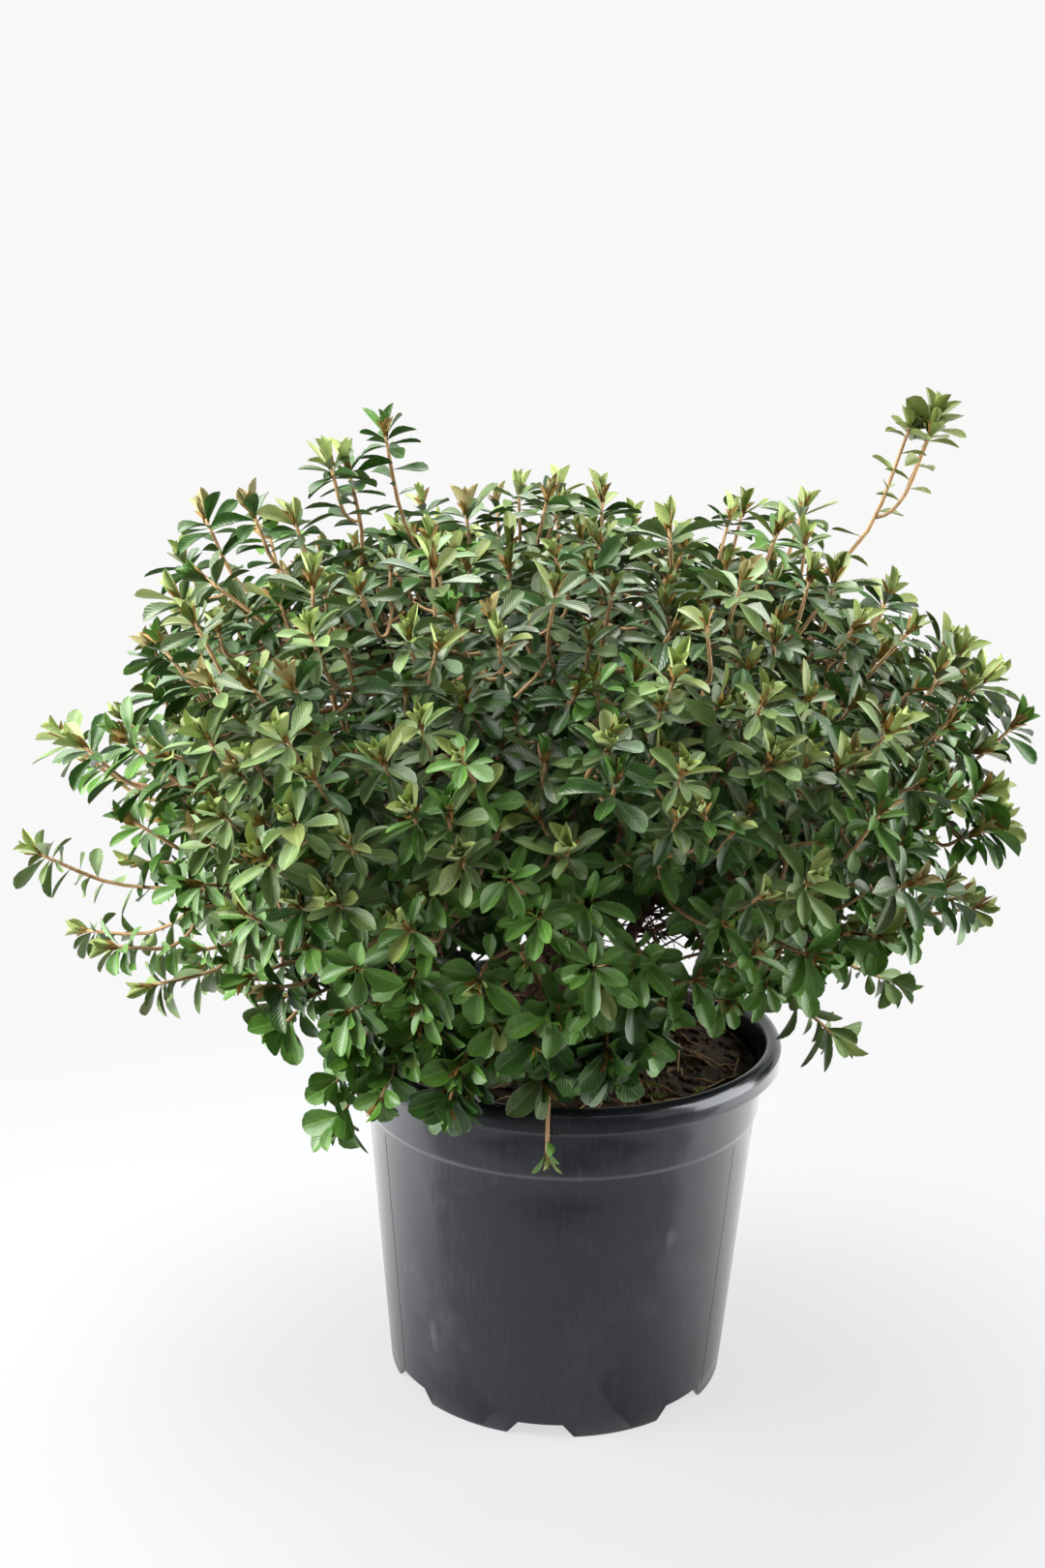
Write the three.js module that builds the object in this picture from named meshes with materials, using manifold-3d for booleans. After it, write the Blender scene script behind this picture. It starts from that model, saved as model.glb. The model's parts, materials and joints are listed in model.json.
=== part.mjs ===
// An evergreen azalea shrub in a black nursery pot. Millimetres, +Z up.
// The origin is the middle of the pot's flat underside, on the floor, and -Y is the shrub's front.
import * as THREE from 'three';
import { mergeVertices } from 'three/addons/utils/BufferGeometryUtils.js';
import Module from 'manifold-3d';

const wasm = await Module();
wasm.setup();

// ---------------------------------------------------------------- driving dimensions

const CLEAR = 0.3; // the gap left between solids that touch
const SHORTEST_EDGE = 0.2;

// Pot: a thin moulded container of about 20 litres
const POT_HEIGHT = 297;
const POT_WALL = 2.6;
const RIM_RADIUS = 182;
const FOOT_RADIUS = 142;
const STEP_HEIGHT = 234; // the low step round the wall, under the rim
const STEP_RADIUS = 162.5;
const NECK_RADIUS = 168; // the wall just under the rim
const DISC_RADIUS = 96; // the part of the floor that stands on the ground
const CHANNEL_HEIGHT = 11; // the raised channel round it that drains to the notches
const NOTCHES = 7;
const NOTCH_FIRST_DEG = -44;
const POT_SIDES = 32;

// Compost
const SOIL_EDGE_HEIGHT = 268;
const SOIL_HEIGHT = 281;
const SOIL_FLAT_RADIUS = 40;

// Stems
const TRUNK_HEIGHT = 96;
const TRUNK_FOOT_RADIUS = 31;
const TRUNK_RADIUS = 19;
const TRUNK_TOP_RADIUS = 13;
const TRUNK_LEAN = [5, -4];
const BOUGH_FOOT_RADIUS = 6.6;
const BOUGH_TIP_RADIUS = 4.2;
const BOUGH_STEPS = 5;
const BOUGH_SIDES = 5;
const BOUGH_STOP = 74; // how far before the middle of its mass a bough ends

// Crown
const CROWN_CENTRE = new THREE.Vector3(-8, -14, 515);
const CROWN_HALF_WIDTH = 326;
const CROWN_HALF_DEPTH = 285;
const CROWN_UP = 203;
const CROWN_DOWN = 205;
const CROWN_DROOP = 18; // how much lower the skirt hangs towards DROOP_AZIMUTH_DEG
const DROOP_AZIMUTH_DEG = 235;
const CROWN_SQUARENESS = 2.45; // 2 is an ellipsoid
const CROWN_SLANT = 0.4; // how much rounder than that its right side is, and squarer its left
const LOWEST_TIP_DEG = -57; // as on a ball drawn out to the crown's shape
const EVEN_TIPS = 72;
const CELL_GAP = 0.8;

// One tier of boughs and masses per row: count, first azimuth, elevation, share of the way out,
// height on the trunk where its boughs leave, and how far they lean from upright there
const TIERS = [
  { name: 'skirt', count: 7, firstDeg: 12, elevationDeg: -13, share: 0.66, leave: 30, leanDeg: 66 },
  { name: 'shoulder', count: 5, firstDeg: -20, elevationDeg: 33, share: 0.64, leave: 60, leanDeg: 38 },
  { name: 'top', count: 3, firstDeg: 50, elevationDeg: 64, share: 0.62, leave: 78, leanDeg: 24 },
];

// Long shoots that stand out of the crown: azimuth and elevation from its centre, and reach
const LONG_SHOOTS = [
  { azimuthDeg: 1, elevationDeg: 47, reach: 410 },
  { azimuthDeg: 198, elevationDeg: 63, reach: 320 },
  { azimuthDeg: 200, elevationDeg: 54, reach: 325 },
  { azimuthDeg: 177, elevationDeg: 36, reach: 356 },
  { azimuthDeg: 191, elevationDeg: 43, reach: 331 },
  { azimuthDeg: 174, elevationDeg: 28, reach: 358 },
  { azimuthDeg: 181, elevationDeg: 17, reach: 352 },
  { azimuthDeg: 187, elevationDeg: 6, reach: 392 },
  { azimuthDeg: 186, elevationDeg: -8, reach: 431 },
  { azimuthDeg: 189, elevationDeg: -19, reach: 414 },
  { azimuthDeg: 190, elevationDeg: -28, reach: 376 },
  { azimuthDeg: 224, elevationDeg: -33, reach: 322 },
  { azimuthDeg: 230, elevationDeg: -40, reach: 362 },
  { azimuthDeg: 1, elevationDeg: 15, reach: 360 },
  { azimuthDeg: 1, elevationDeg: 8, reach: 377 },
  { azimuthDeg: 11, elevationDeg: 19, reach: 345 },
  { azimuthDeg: 349, elevationDeg: 3, reach: 348 },
  { azimuthDeg: 356, elevationDeg: -15, reach: 362 },
  { azimuthDeg: 10, elevationDeg: -32, reach: 362 },
  { azimuthDeg: 349, elevationDeg: -41, reach: 321 },
  { azimuthDeg: 121, elevationDeg: 71, reach: 243 },
  { azimuthDeg: 92, elevationDeg: 58, reach: 264 },
  { azimuthDeg: 20, elevationDeg: 55, reach: 270 },
  { azimuthDeg: 33, elevationDeg: 41, reach: 324 },
  { azimuthDeg: 268, elevationDeg: -52, reach: 323 },
  { azimuthDeg: 96, elevationDeg: -8, reach: 318 },
  { azimuthDeg: 128, elevationDeg: 22, reach: 318 },
  { azimuthDeg: 258, elevationDeg: 18, reach: 318 },
  { azimuthDeg: 318, elevationDeg: 28, reach: 312 },
];

// Twigs and leaves, larger than life because there are fewer of them
const TWIG_FOOT_RADIUS = 2.7;
const TWIG_TIP_RADIUS = 2.3;
const HEAD_LENGTH = 21; // the straight end of a twig that carries its leaves
const PATH_WEIGHT = 0.35; // how much a twig prefers a short way back to the hub
const ATTACH_AT = 0.42; // where along a twig later ones may leave it
const CORE_DEPTH = 40; // how far under the crown's surface the cores end
const CORE_INWARD = 64; // and how far back towards its bough
const CORE_ROUNDNESS = 20; // how sharply a core's sides meet
const CORE_LUMPS = 0.08; // share by which its surface goes in and out
const LIMB_ROOM = 7; // between a core and the limbs that pass it
const CORE_LOWEST = 318;
const LEAF_LENGTH = 60;
const LEAF_WIDTH = 29;
const LEAF_THICKNESS = 1.5;
const LEAF_SUNK = 0.6; // how far past a twig's middle a leaf starts
const LEAF_SPACING = 3.1; // between the leaves down a twig's end
const LEAVES_PER_TIP = 6;
const YOUNG_LEAVES = 2; // of those, the ones that stand up in the middle
const GOLDEN_DEG = 137.508;

const BARK = { color: 0x6b4632, roughness: 0.85, metalness: 0 };
const FOLIAGE = { color: 0x3c6135, roughness: 0.5, metalness: 0 };

// ---------------------------------------------------------------- helpers

const rad = THREE.MathUtils.degToRad;
const UP = new THREE.Vector3(0, 0, 1);

// The same run of numbers from 0 to 1 for the same seed
function seeded(seed) {
  let state = seed >>> 0;
  return () => {
    state = (Math.imul(state, 1664525) + 1013904223) >>> 0;
    return state / 4294967296;
  };
}

function direction(azimuthDeg, elevationDeg) {
  const a = rad(azimuthDeg);
  const e = rad(elevationDeg);
  return new THREE.Vector3(Math.cos(a) * Math.cos(e), Math.sin(a) * Math.cos(e), Math.sin(e));
}

function solidOf(geometry) {
  const bare = new THREE.BufferGeometry();
  bare.setAttribute('position', geometry.getAttribute('position'));
  bare.setIndex(geometry.index);
  const merged = mergeVertices(bare, 1e-3);
  const made = new wasm.Manifold(new wasm.Mesh({
    numProp: 3,
    vertProperties: new Float32Array(merged.attributes.position.array),
    triVerts: new Uint32Array(merged.index.array),
  }));
  if (made.volume() < 0) throw new Error('a piece is inside out');
  return made;
}

function geometryOf(solid) {
  const { vertProperties, triVerts, numProp, numVert } = solid.getMesh();
  const positions = new Float32Array(numVert * 3);
  for (let i = 0; i < numVert; i++) {
    positions.set(vertProperties.subarray(i * numProp, i * numProp + 3), i * 3);
  }
  const geometry = new THREE.BufferGeometry();
  geometry.setAttribute('position', new THREE.BufferAttribute(positions, 3));
  geometry.setIndex(new THREE.BufferAttribute(triVerts, 1));
  return geometry;
}

// The main body of a solid, without loose scraps or edges shorter than can be stored
function mainBody(solid) {
  return solid.simplify(SHORTEST_EDGE).decompose().reduce((a, b) => (b.volume() > a.volume() ? b : a));
}

// Points and triangles as a closed geometry
function facets(points, triangles) {
  const geometry = new THREE.BufferGeometry();
  const positions = points.flatMap((p) => [p.x, p.y, p.z]);
  geometry.setAttribute('position', new THREE.Float32BufferAttribute(positions, 3));
  geometry.setIndex(triangles.flat());
  return geometry;
}

// A closed tapering limb with flat ends: points along it, a radius at each, and its number of sides
function limb(points, radii, sides) {
  const rings = [];
  let side = new THREE.Vector3(1, 0.2, 0.1);
  points.forEach((point, k) => {
    const before = points[Math.max(0, k - 1)];
    const after = points[Math.min(points.length - 1, k + 1)];
    const along = after.clone().sub(before).normalize();
    side = side.clone().addScaledVector(along, -side.dot(along)).normalize();
    const other = along.clone().cross(side);
    for (let j = 0; j < sides; j++) {
      const a = (2 * Math.PI * j) / sides;
      rings.push(point.clone()
        .addScaledVector(side, radii[k] * Math.cos(a))
        .addScaledVector(other, radii[k] * Math.sin(a)));
    }
  });
  const triangles = [];
  for (let k = 0; k + 1 < points.length; k++) {
    for (let j = 0; j < sides; j++) {
      const a = k * sides + j;
      const b = k * sides + ((j + 1) % sides);
      triangles.push([a, b, b + sides], [a, b + sides, a + sides]);
    }
  }
  const last = (points.length - 1) * sides;
  for (let j = 1; j + 1 < sides; j++) {
    triangles.push([0, j + 1, j], [last, last + j, last + j + 1]);
  }
  return facets(rings, triangles);
}

function turned(profile, sides) {
  const points = profile.map(([r, z]) => new THREE.Vector2(r, z));
  return new THREE.LatheGeometry(points, sides).rotateX(Math.PI / 2);
}

function meshOf(name, geometry, look) {
  const mesh = new THREE.Mesh(geometry, new THREE.MeshStandardMaterial(look));
  mesh.name = name;
  return mesh;
}

const shrub = new THREE.Group();

// ---------------------------------------------------------------- pot

// Radius of the wall's outside at a height, up to the step
function wallRadius(z) {
  return FOOT_RADIUS + ((STEP_RADIUS - FOOT_RADIUS) * z) / STEP_HEIGHT;
}

function makePot() {
  const lip = RIM_RADIUS;
  const outside = [
    [0, 0], [DISC_RADIUS, 0], [DISC_RADIUS + 12, CHANNEL_HEIGHT],
    [FOOT_RADIUS - POT_WALL - 1, CHANNEL_HEIGHT], [FOOT_RADIUS - POT_WALL - 1, 0], [FOOT_RADIUS, 0],
    [STEP_RADIUS, STEP_HEIGHT], [STEP_RADIUS + 2.4, STEP_HEIGHT + 5],
    [NECK_RADIUS, POT_HEIGHT - 9], [lip - 4, POT_HEIGHT - 9], [lip - 3, POT_HEIGHT - 19],
    [lip, POT_HEIGHT - 18], [lip, POT_HEIGHT - 7], [lip - 7, POT_HEIGHT],
  ];
  const inside = [
    [NECK_RADIUS + 1, POT_HEIGHT - 1], [NECK_RADIUS - POT_WALL, POT_HEIGHT - 14],
    [STEP_RADIUS - POT_WALL, STEP_HEIGHT], [wallRadius(CHANNEL_HEIGHT) - POT_WALL, CHANNEL_HEIGHT + POT_WALL],
    [DISC_RADIUS + 11, CHANNEL_HEIGHT + POT_WALL], [DISC_RADIUS - 1, POT_WALL], [0, POT_WALL],
  ];
  const notch = new THREE.Shape([
    new THREE.Vector2(-29, -1), new THREE.Vector2(29, -1),
    new THREE.Vector2(18, CHANNEL_HEIGHT + 0.6), new THREE.Vector2(-18, CHANNEL_HEIGHT + 0.6),
  ]);
  let pot = solidOf(turned([...outside, ...inside], POT_SIDES));
  for (let k = 0; k < NOTCHES; k++) {
    const turn = rad(NOTCH_FIRST_DEG + (360 / NOTCHES) * k);
    const cut = new THREE.ExtrudeGeometry(notch, { depth: 24, bevelEnabled: false })
      .rotateX(Math.PI / 2).rotateZ(Math.PI / 2).translate(FOOT_RADIUS - 14, 0, 0).rotateZ(turn);
    const drain = new THREE.CylinderGeometry(6.5, 6.5, 12, 8)
      .rotateX(Math.PI / 2).translate(FOOT_RADIUS - 20, 0, CHANNEL_HEIGHT + 1).rotateZ(turn);
    pot = pot.subtract(solidOf(cut)).subtract(solidOf(drain));
  }
  return geometryOf(mainBody(pot));
}

shrub.add(meshOf('pot', makePot(), { color: 0x2b2c2e, roughness: 0.42, metalness: 0 }));

// ---------------------------------------------------------------- compost

function makeCompost() {
  const floor = POT_WALL + CLEAR;
  const wall = POT_WALL + CLEAR + 0.2;
  const edge = STEP_RADIUS + (SOIL_EDGE_HEIGHT - STEP_HEIGHT) * 0.1 - wall;
  const rings = [[edge, SOIL_EDGE_HEIGHT], [122, SOIL_EDGE_HEIGHT + 6], [78, SOIL_HEIGHT - 2]];
  const profile = [
    [0, floor], [DISC_RADIUS - 1.4, floor], [DISC_RADIUS + 10.4, CHANNEL_HEIGHT + floor],
    [wallRadius(CHANNEL_HEIGHT) - wall, CHANNEL_HEIGHT + floor], [STEP_RADIUS - wall, STEP_HEIGHT - 1],
    ...rings, [SOIL_FLAT_RADIUS, SOIL_HEIGHT], [0, SOIL_HEIGHT],
  ];
  const geometry = turned(profile, POT_SIDES);
  const positions = geometry.getAttribute('position');
  for (let i = 0; i < positions.count; i++) {
    const [x, y, z] = [positions.getX(i), positions.getY(i), positions.getZ(i)];
    const r = Math.hypot(x, y);
    if (z > SOIL_EDGE_HEIGHT + 1 && r > SOIL_FLAT_RADIUS + 2) {
      positions.setZ(i, z + 2.2 * Math.sin(x / 17 + 1) * Math.cos(y / 21) + 1.3 * Math.sin((x - y) / 9));
    }
  }
  return geometry;
}

const COMPOST = { color: 0x3a271c, roughness: 0.95, metalness: 0 };
shrub.add(meshOf('compost', geometryOf(solidOf(makeCompost())), COMPOST));

// ---------------------------------------------------------------- trunk

const TRUNK_FOOT = SOIL_HEIGHT + CLEAR;

// Middle of the trunk at a height above its flat cut
function trunkAxis(height) {
  const share = height / TRUNK_HEIGHT;
  return new THREE.Vector3(TRUNK_LEAN[0] * share, TRUNK_LEAN[1] * share, TRUNK_FOOT + height);
}

function trunkRadius(height) {
  const share = height / TRUNK_HEIGHT;
  const flare = (TRUNK_FOOT_RADIUS - TRUNK_RADIUS) * Math.exp(-height / 9);
  return TRUNK_RADIUS + (TRUNK_TOP_RADIUS - TRUNK_RADIUS) * share + flare;
}

// The trunk grown by a margin, so that boughs can be cut back from it
function trunkSolid(margin) {
  const heights = [0, 6, 14, 28, 50, 74, TRUNK_HEIGHT - 5, TRUNK_HEIGHT];
  const sides = 14;
  const points = [];
  heights.forEach((height, k) => {
    const crown = k === heights.length - 1 ? 0.6 : 1;
    const raise = k === 0 ? -margin : k === heights.length - 1 ? margin : 0;
    const middle = trunkAxis(height);
    for (let j = 0; j < sides; j++) {
      const a = (2 * Math.PI * j) / sides;
      const lobe = 1 + 0.13 * Math.exp(-height / 16) * Math.cos(5 * a + 0.7);
      const radius = trunkRadius(height) * crown * lobe + margin;
      points.push(middle.clone().add(new THREE.Vector3(radius * Math.cos(a), radius * Math.sin(a), raise)));
    }
  });
  const triangles = [];
  for (let k = 0; k + 1 < heights.length; k++) {
    for (let j = 0; j < sides; j++) {
      const a = k * sides + j;
      const b = k * sides + ((j + 1) % sides);
      triangles.push([a, b, b + sides], [a, b + sides, a + sides]);
    }
  }
  const last = (heights.length - 1) * sides;
  for (let j = 1; j + 1 < sides; j++) {
    triangles.push([0, j + 1, j], [last, last + j, last + j + 1]);
  }
  return solidOf(facets(points, triangles));
}

shrub.add(meshOf('trunk', geometryOf(trunkSolid(0)), BARK));

// ---------------------------------------------------------------- crown's shape

// Distance from the crown's centre to its surface along a direction
function crownReach(d) {
  const towards = Math.cos(Math.atan2(d.y, d.x) - rad(DROOP_AZIMUTH_DEG));
  const height = d.z > 0 ? CROWN_UP : CROWN_DOWN + CROWN_DROOP * towards;
  const p = CROWN_SQUARENESS - CROWN_SLANT * d.x;
  const shares = [d.x / CROWN_HALF_WIDTH, d.y / CROWN_HALF_DEPTH, d.z / height];
  const sum = shares.reduce((total, share) => total + Math.abs(share) ** p, 0);
  return sum ** (-1 / p);
}

// Which way a shoot points at a place on the crown: out of it, and up to the light
function shootAxis(d) {
  const out = new THREE.Vector3(
    d.x / CROWN_HALF_WIDTH, d.y / CROWN_HALF_DEPTH, d.z / CROWN_UP).normalize();
  const lift = d.z > 0 ? 0.75 : 0.75 + 0.6 * d.z;
  return out.addScaledVector(UP, lift).normalize();
}

// The ends of the shoots: even ones on a spiral over the crown, then the long ones
function shootTips() {
  const random = seeded(11);
  const lowest = Math.sin(rad(LOWEST_TIP_DEG));
  const tips = [];
  for (let i = 0; i < EVEN_TIPS; i++) {
    const z = 1 - ((i + 0.5) / EVEN_TIPS) * (1 - lowest);
    const d = direction(i * GOLDEN_DEG, THREE.MathUtils.radToDeg(Math.asin(z)));
    d.multiply(new THREE.Vector3(CROWN_HALF_WIDTH, CROWN_HALF_DEPTH, CROWN_UP)).normalize();
    const reach = crownReach(d) - LEAF_LENGTH * (0.2 + 0.25 * random());
    tips.push({ at: CROWN_CENTRE.clone().addScaledVector(d, reach), axis: shootAxis(d), out: d });
  }
  for (const shoot of LONG_SHOOTS) {
    const d = direction(shoot.azimuthDeg, shoot.elevationDeg);
    const axis = shootAxis(d);
    const end = CROWN_CENTRE.clone().addScaledVector(d, shoot.reach);
    tips.push({ at: end.addScaledVector(axis, -LEAF_LENGTH * 0.42), axis, out: d });
  }
  return tips;
}

// ---------------------------------------------------------------- boughs

// One bough for each mass: where it leaves the trunk, its bend, its tip, and the middle of its mass
function boughPlan() {
  const random = seeded(5);
  const plan = [];
  for (const tier of TIERS) {
    for (let k = 0; k < tier.count; k++) {
      const azimuth = tier.firstDeg + (360 / tier.count) * k;
      const d = direction(azimuth, tier.elevationDeg + 6 * (random() - 0.5));
      const hub = CROWN_CENTRE.clone().addScaledVector(d, crownReach(d) * tier.share);
      const foot = trunkAxis(tier.leave + 9 * (k % 2));
      const leaving = direction(azimuth, 90 - tier.leanDeg);
      const span = foot.distanceTo(hub);
      const arriving = hub.clone().sub(foot).normalize().add(d).normalize();
      const tip = hub.clone().addScaledVector(arriving, -BOUGH_STOP);
      const curve = new THREE.CubicBezierCurve3(
        foot, foot.clone().addScaledVector(leaving, span * 0.3),
        tip.clone().addScaledVector(arriving, -span * 0.25), tip);
      const points = curve.getPoints(BOUGH_STEPS);
      const heading = tip.clone().sub(points[BOUGH_STEPS - 1]).normalize();
      const taper = (BOUGH_TIP_RADIUS - BOUGH_FOOT_RADIUS) / BOUGH_STEPS;
      const radii = points.map((_, i) => BOUGH_FOOT_RADIUS + taper * i);
      plan.push({ name: `${tier.name}_${k + 1}`, hub, tip, heading, points, radii });
    }
  }
  return plan;
}

const boughs = boughPlan();

// Every limb as short straight stretches with a radius, for keeping twigs and leaves clear of it
const limbStretches = [];

function addStretches(points, radii) {
  for (let k = 0; k + 1 < points.length; k++) {
    const line = new THREE.Line3(points[k], points[k + 1]);
    limbStretches.push({ line, radius: Math.max(radii[k], radii[k + 1]) });
  }
}

const trunkHeights = [0, 30, 60, TRUNK_HEIGHT];
addStretches(trunkHeights.map(trunkAxis), trunkHeights.map(trunkRadius));

let taken = trunkSolid(CLEAR + 0.05);
for (const bough of boughs) {
  addStretches(bough.points, bough.radii);
  const solid = mainBody(solidOf(limb(bough.points, bough.radii, BOUGH_SIDES)).subtract(taken));
  const room = bough.radii.map((radius) => radius + 2 * CLEAR);
  taken = taken.add(solidOf(limb(bough.points, room, BOUGH_SIDES)));
  shrub.add(meshOf(`bough_${bough.name}`, geometryOf(solid), BARK));
}

// ---------------------------------------------------------------- masses of foliage

// The planes that part a mass's space from its neighbours'
function cellPlanes(index) {
  const { hub } = boughs[index];
  return boughs.filter((_, k) => k !== index).map((other) => {
    const normal = other.hub.clone().sub(hub).normalize();
    const middle = other.hub.clone().add(hub).multiplyScalar(0.5).addScaledVector(normal, -CELL_GAP);
    return new THREE.Plane().setFromNormalAndCoplanarPoint(normal, middle);
  });
}

const nearest = new THREE.Vector3();

function clearOfLimbs(point, margin) {
  return limbStretches.every(({ line, radius }) => {
    line.closestPointToPoint(point, true, nearest);
    return nearest.distanceTo(point) > radius + margin;
  });
}

function clearOfPot(point, margin) {
  return Math.hypot(point.x, point.y) > RIM_RADIUS + margin || point.z > POT_HEIGHT + margin;
}

function hasRoom(points, planes, margin) {
  return points.every((p) => planes.every((plane) => plane.distanceToPoint(p) < 0)
    && clearOfPot(p, margin) && clearOfLimbs(p, margin));
}

// A leaf: widest past its middle, cupped a little, with its foot sunk in the twig
function leafPoints(foot, along, face, length, width) {
  const side = along.clone().cross(face).normalize();
  const up = side.clone().cross(along).normalize();
  const at = (a, b, c) => foot.clone()
    .addScaledVector(along, a).addScaledVector(side, b).addScaledVector(up, c);
  const broad = length * 0.58;
  return [
    at(-LEAF_SUNK, 0, 0), at(length, 0, -0.04 * length), at(broad, width / 2, 0.05 * length),
    at(broad, -width / 2, 0.05 * length),
    at(broad * 0.92, 0, LEAF_THICKNESS / 2), at(broad * 0.92, 0, -LEAF_THICKNESS),
  ];
}

const LEAF_FACES = [[0, 4, 3], [3, 4, 1], [1, 4, 2], [2, 4, 0], [3, 5, 0], [1, 5, 3], [2, 5, 1], [0, 5, 2]];

// Twigs from the hub to the shoot tips: each leaves the nearest place already grown, and turns up at its end
function growTwigs(hub, tips) {
  const places = [{ at: hub, path: 0 }];
  const twigs = [];
  const sorted = [...tips].sort((a, b) => a.at.distanceTo(hub) - b.at.distanceTo(hub));
  for (const tip of sorted) {
    const cost = (place) => {
      const run = tip.at.clone().sub(place.at);
      return 2 * run.length() - run.dot(tip.out) + PATH_WEIGHT * place.path;
    };
    const from = places.reduce((a, b) => (cost(b) < cost(a) ? b : a));
    const span = from.at.distanceTo(tip.at);
    const head = tip.at.clone().addScaledVector(tip.axis, -HEAD_LENGTH);
    const bend = head.clone().addScaledVector(tip.axis, -0.36 * span);
    const curve = new THREE.QuadraticBezierCurve3(from.at, bend, head);
    twigs.push({ curve, tip, span });
    places.push({ at: curve.getPoint(ATTACH_AT), path: from.path + ATTACH_AT * span });
  }
  return twigs;
}

// The dense heart of a mass: a blob that fills its space to a depth under the crown's surface
function coreSolid(hub, heading, planes) {
  const geometry = new THREE.IcosahedronGeometry(1, 1);
  const positions = geometry.getAttribute('position');
  const d = new THREE.Vector3();
  const point = new THREE.Vector3();
  for (let i = 0; i < positions.count; i++) {
    d.fromBufferAttribute(positions, i).normalize();
    const limits = planes.map((plane) => (plane.normal.dot(d) > 0.01
      ? -(plane.distanceToPoint(hub) + 1) / plane.normal.dot(d) : Infinity));
    limits.push(CORE_INWARD / Math.max(0.05, -heading.dot(d)));
    limits.push(d.z < -0.01 ? Math.max(6, (hub.z - CORE_LOWEST) / -d.z) : Infinity);
    let surface = 6;
    for (; surface < 260; surface += 4) {
      point.copy(hub).addScaledVector(d, surface).sub(CROWN_CENTRE);
      const away = point.length();
      if (away > crownReach(point.clone().divideScalar(away)) - CORE_DEPTH) break;
      if (surface > 40 && !clearOfLimbs(point.add(CROWN_CENTRE), LIMB_ROOM)) break;
    }
    limits.push(surface);
    const smooth = limits.reduce((sum, limit) => sum + limit ** -CORE_ROUNDNESS, 0) ** (-1 / CORE_ROUNDNESS);
    const lump = Math.sin(d.x * 7.1 + hub.x) * Math.sin(d.y * 6.3 + hub.y) * Math.sin(d.z * 6.7 + hub.z);
    const reach = smooth * (1 - CORE_LUMPS * (0.5 + 0.5 * lump));
    positions.setXYZ(i, hub.x + d.x * reach, hub.y + d.y * reach, hub.z + d.z * reach);
  }
  return solidOf(geometry);
}

function makeMass(index, tips) {
  const { hub, tip, heading } = boughs[index];
  const planes = cellPlanes(index);
  const random = seeded(300 + index);
  const stem = [CLEAR, 14].map((far) => tip.clone().addScaledVector(heading, far));
  const stemRadii = [BOUGH_TIP_RADIUS, BOUGH_TIP_RADIUS, TWIG_FOOT_RADIUS];
  const pieces = [solidOf(limb([...stem, hub], stemRadii, BOUGH_SIDES)), coreSolid(hub, heading, planes)];
  let leaves = 0;
  for (const twig of growTwigs(hub, tips)) {
    const points = [...[0, 0.5, 1].map((t) => twig.curve.getPoint(t)), twig.tip.at];
    if (!hasRoom(points.slice(1), planes, TWIG_FOOT_RADIUS + 1)) continue;
    pieces.push(solidOf(limb(points, [TWIG_FOOT_RADIUS, 2.4, 2.4, TWIG_TIP_RADIUS], 3)));
    const { axis } = twig.tip;
    const across = new THREE.Vector3(axis.z, 0.3, -axis.x).cross(axis).normalize();
    const turn = 360 * random();
    for (let j = 0; j < LEAVES_PER_TIP; j++) {
      const young = j < YOUNG_LEAVES;
      const outward = across.clone().applyAxisAngle(axis, rad(turn + GOLDEN_DEG * j));
      const spread = rad(young ? 18 + 10 * random() : 46 + 30 * random());
      const along = axis.clone().multiplyScalar(Math.cos(spread)).addScaledVector(outward, Math.sin(spread));
      const size = (young ? 0.72 : 1) * (0.88 + 0.24 * random());
      const foot = twig.tip.at.clone().addScaledVector(axis, -1.6 - LEAF_SPACING * j);
      const width = LEAF_WIDTH * size * (young ? 0.8 : 1);
      const leaf = leafPoints(foot, along, axis, LEAF_LENGTH * size, width);
      if (!hasRoom(leaf, planes, 1.2)) continue;
      pieces.push(solidOf(facets(leaf, LEAF_FACES)));
      leaves++;
    }
  }
  let mass = wasm.Manifold.union(pieces);
  boughs.forEach(({ points, radii }, k) => {
    const room = radii.map((radius) => radius + 2 * CLEAR);
    if (k !== index) mass = mass.subtract(solidOf(limb(points, room, BOUGH_SIDES)));
  });
  return { solid: mainBody(mass), leaves };
}

const tipsByMass = boughs.map(() => []);
for (const tip of shootTips()) {
  const distances = boughs.map(({ hub }) => hub.distanceTo(tip.at));
  tipsByMass[distances.indexOf(Math.min(...distances))].push(tip);
}

boughs.forEach((bough, index) => {
  const { solid } = makeMass(index, tipsByMass[index]);
  shrub.add(meshOf(`foliage_${bough.name}`, geometryOf(solid), FOLIAGE));
});

export default shrub;
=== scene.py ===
# An evergreen azalea shrub in a black nursery pot, dressed over its CAD solids. Metres, +Z up, -Y the front.
import json
import math

import bpy
import numpy as np
from mathutils import Matrix, Vector, noise

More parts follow.
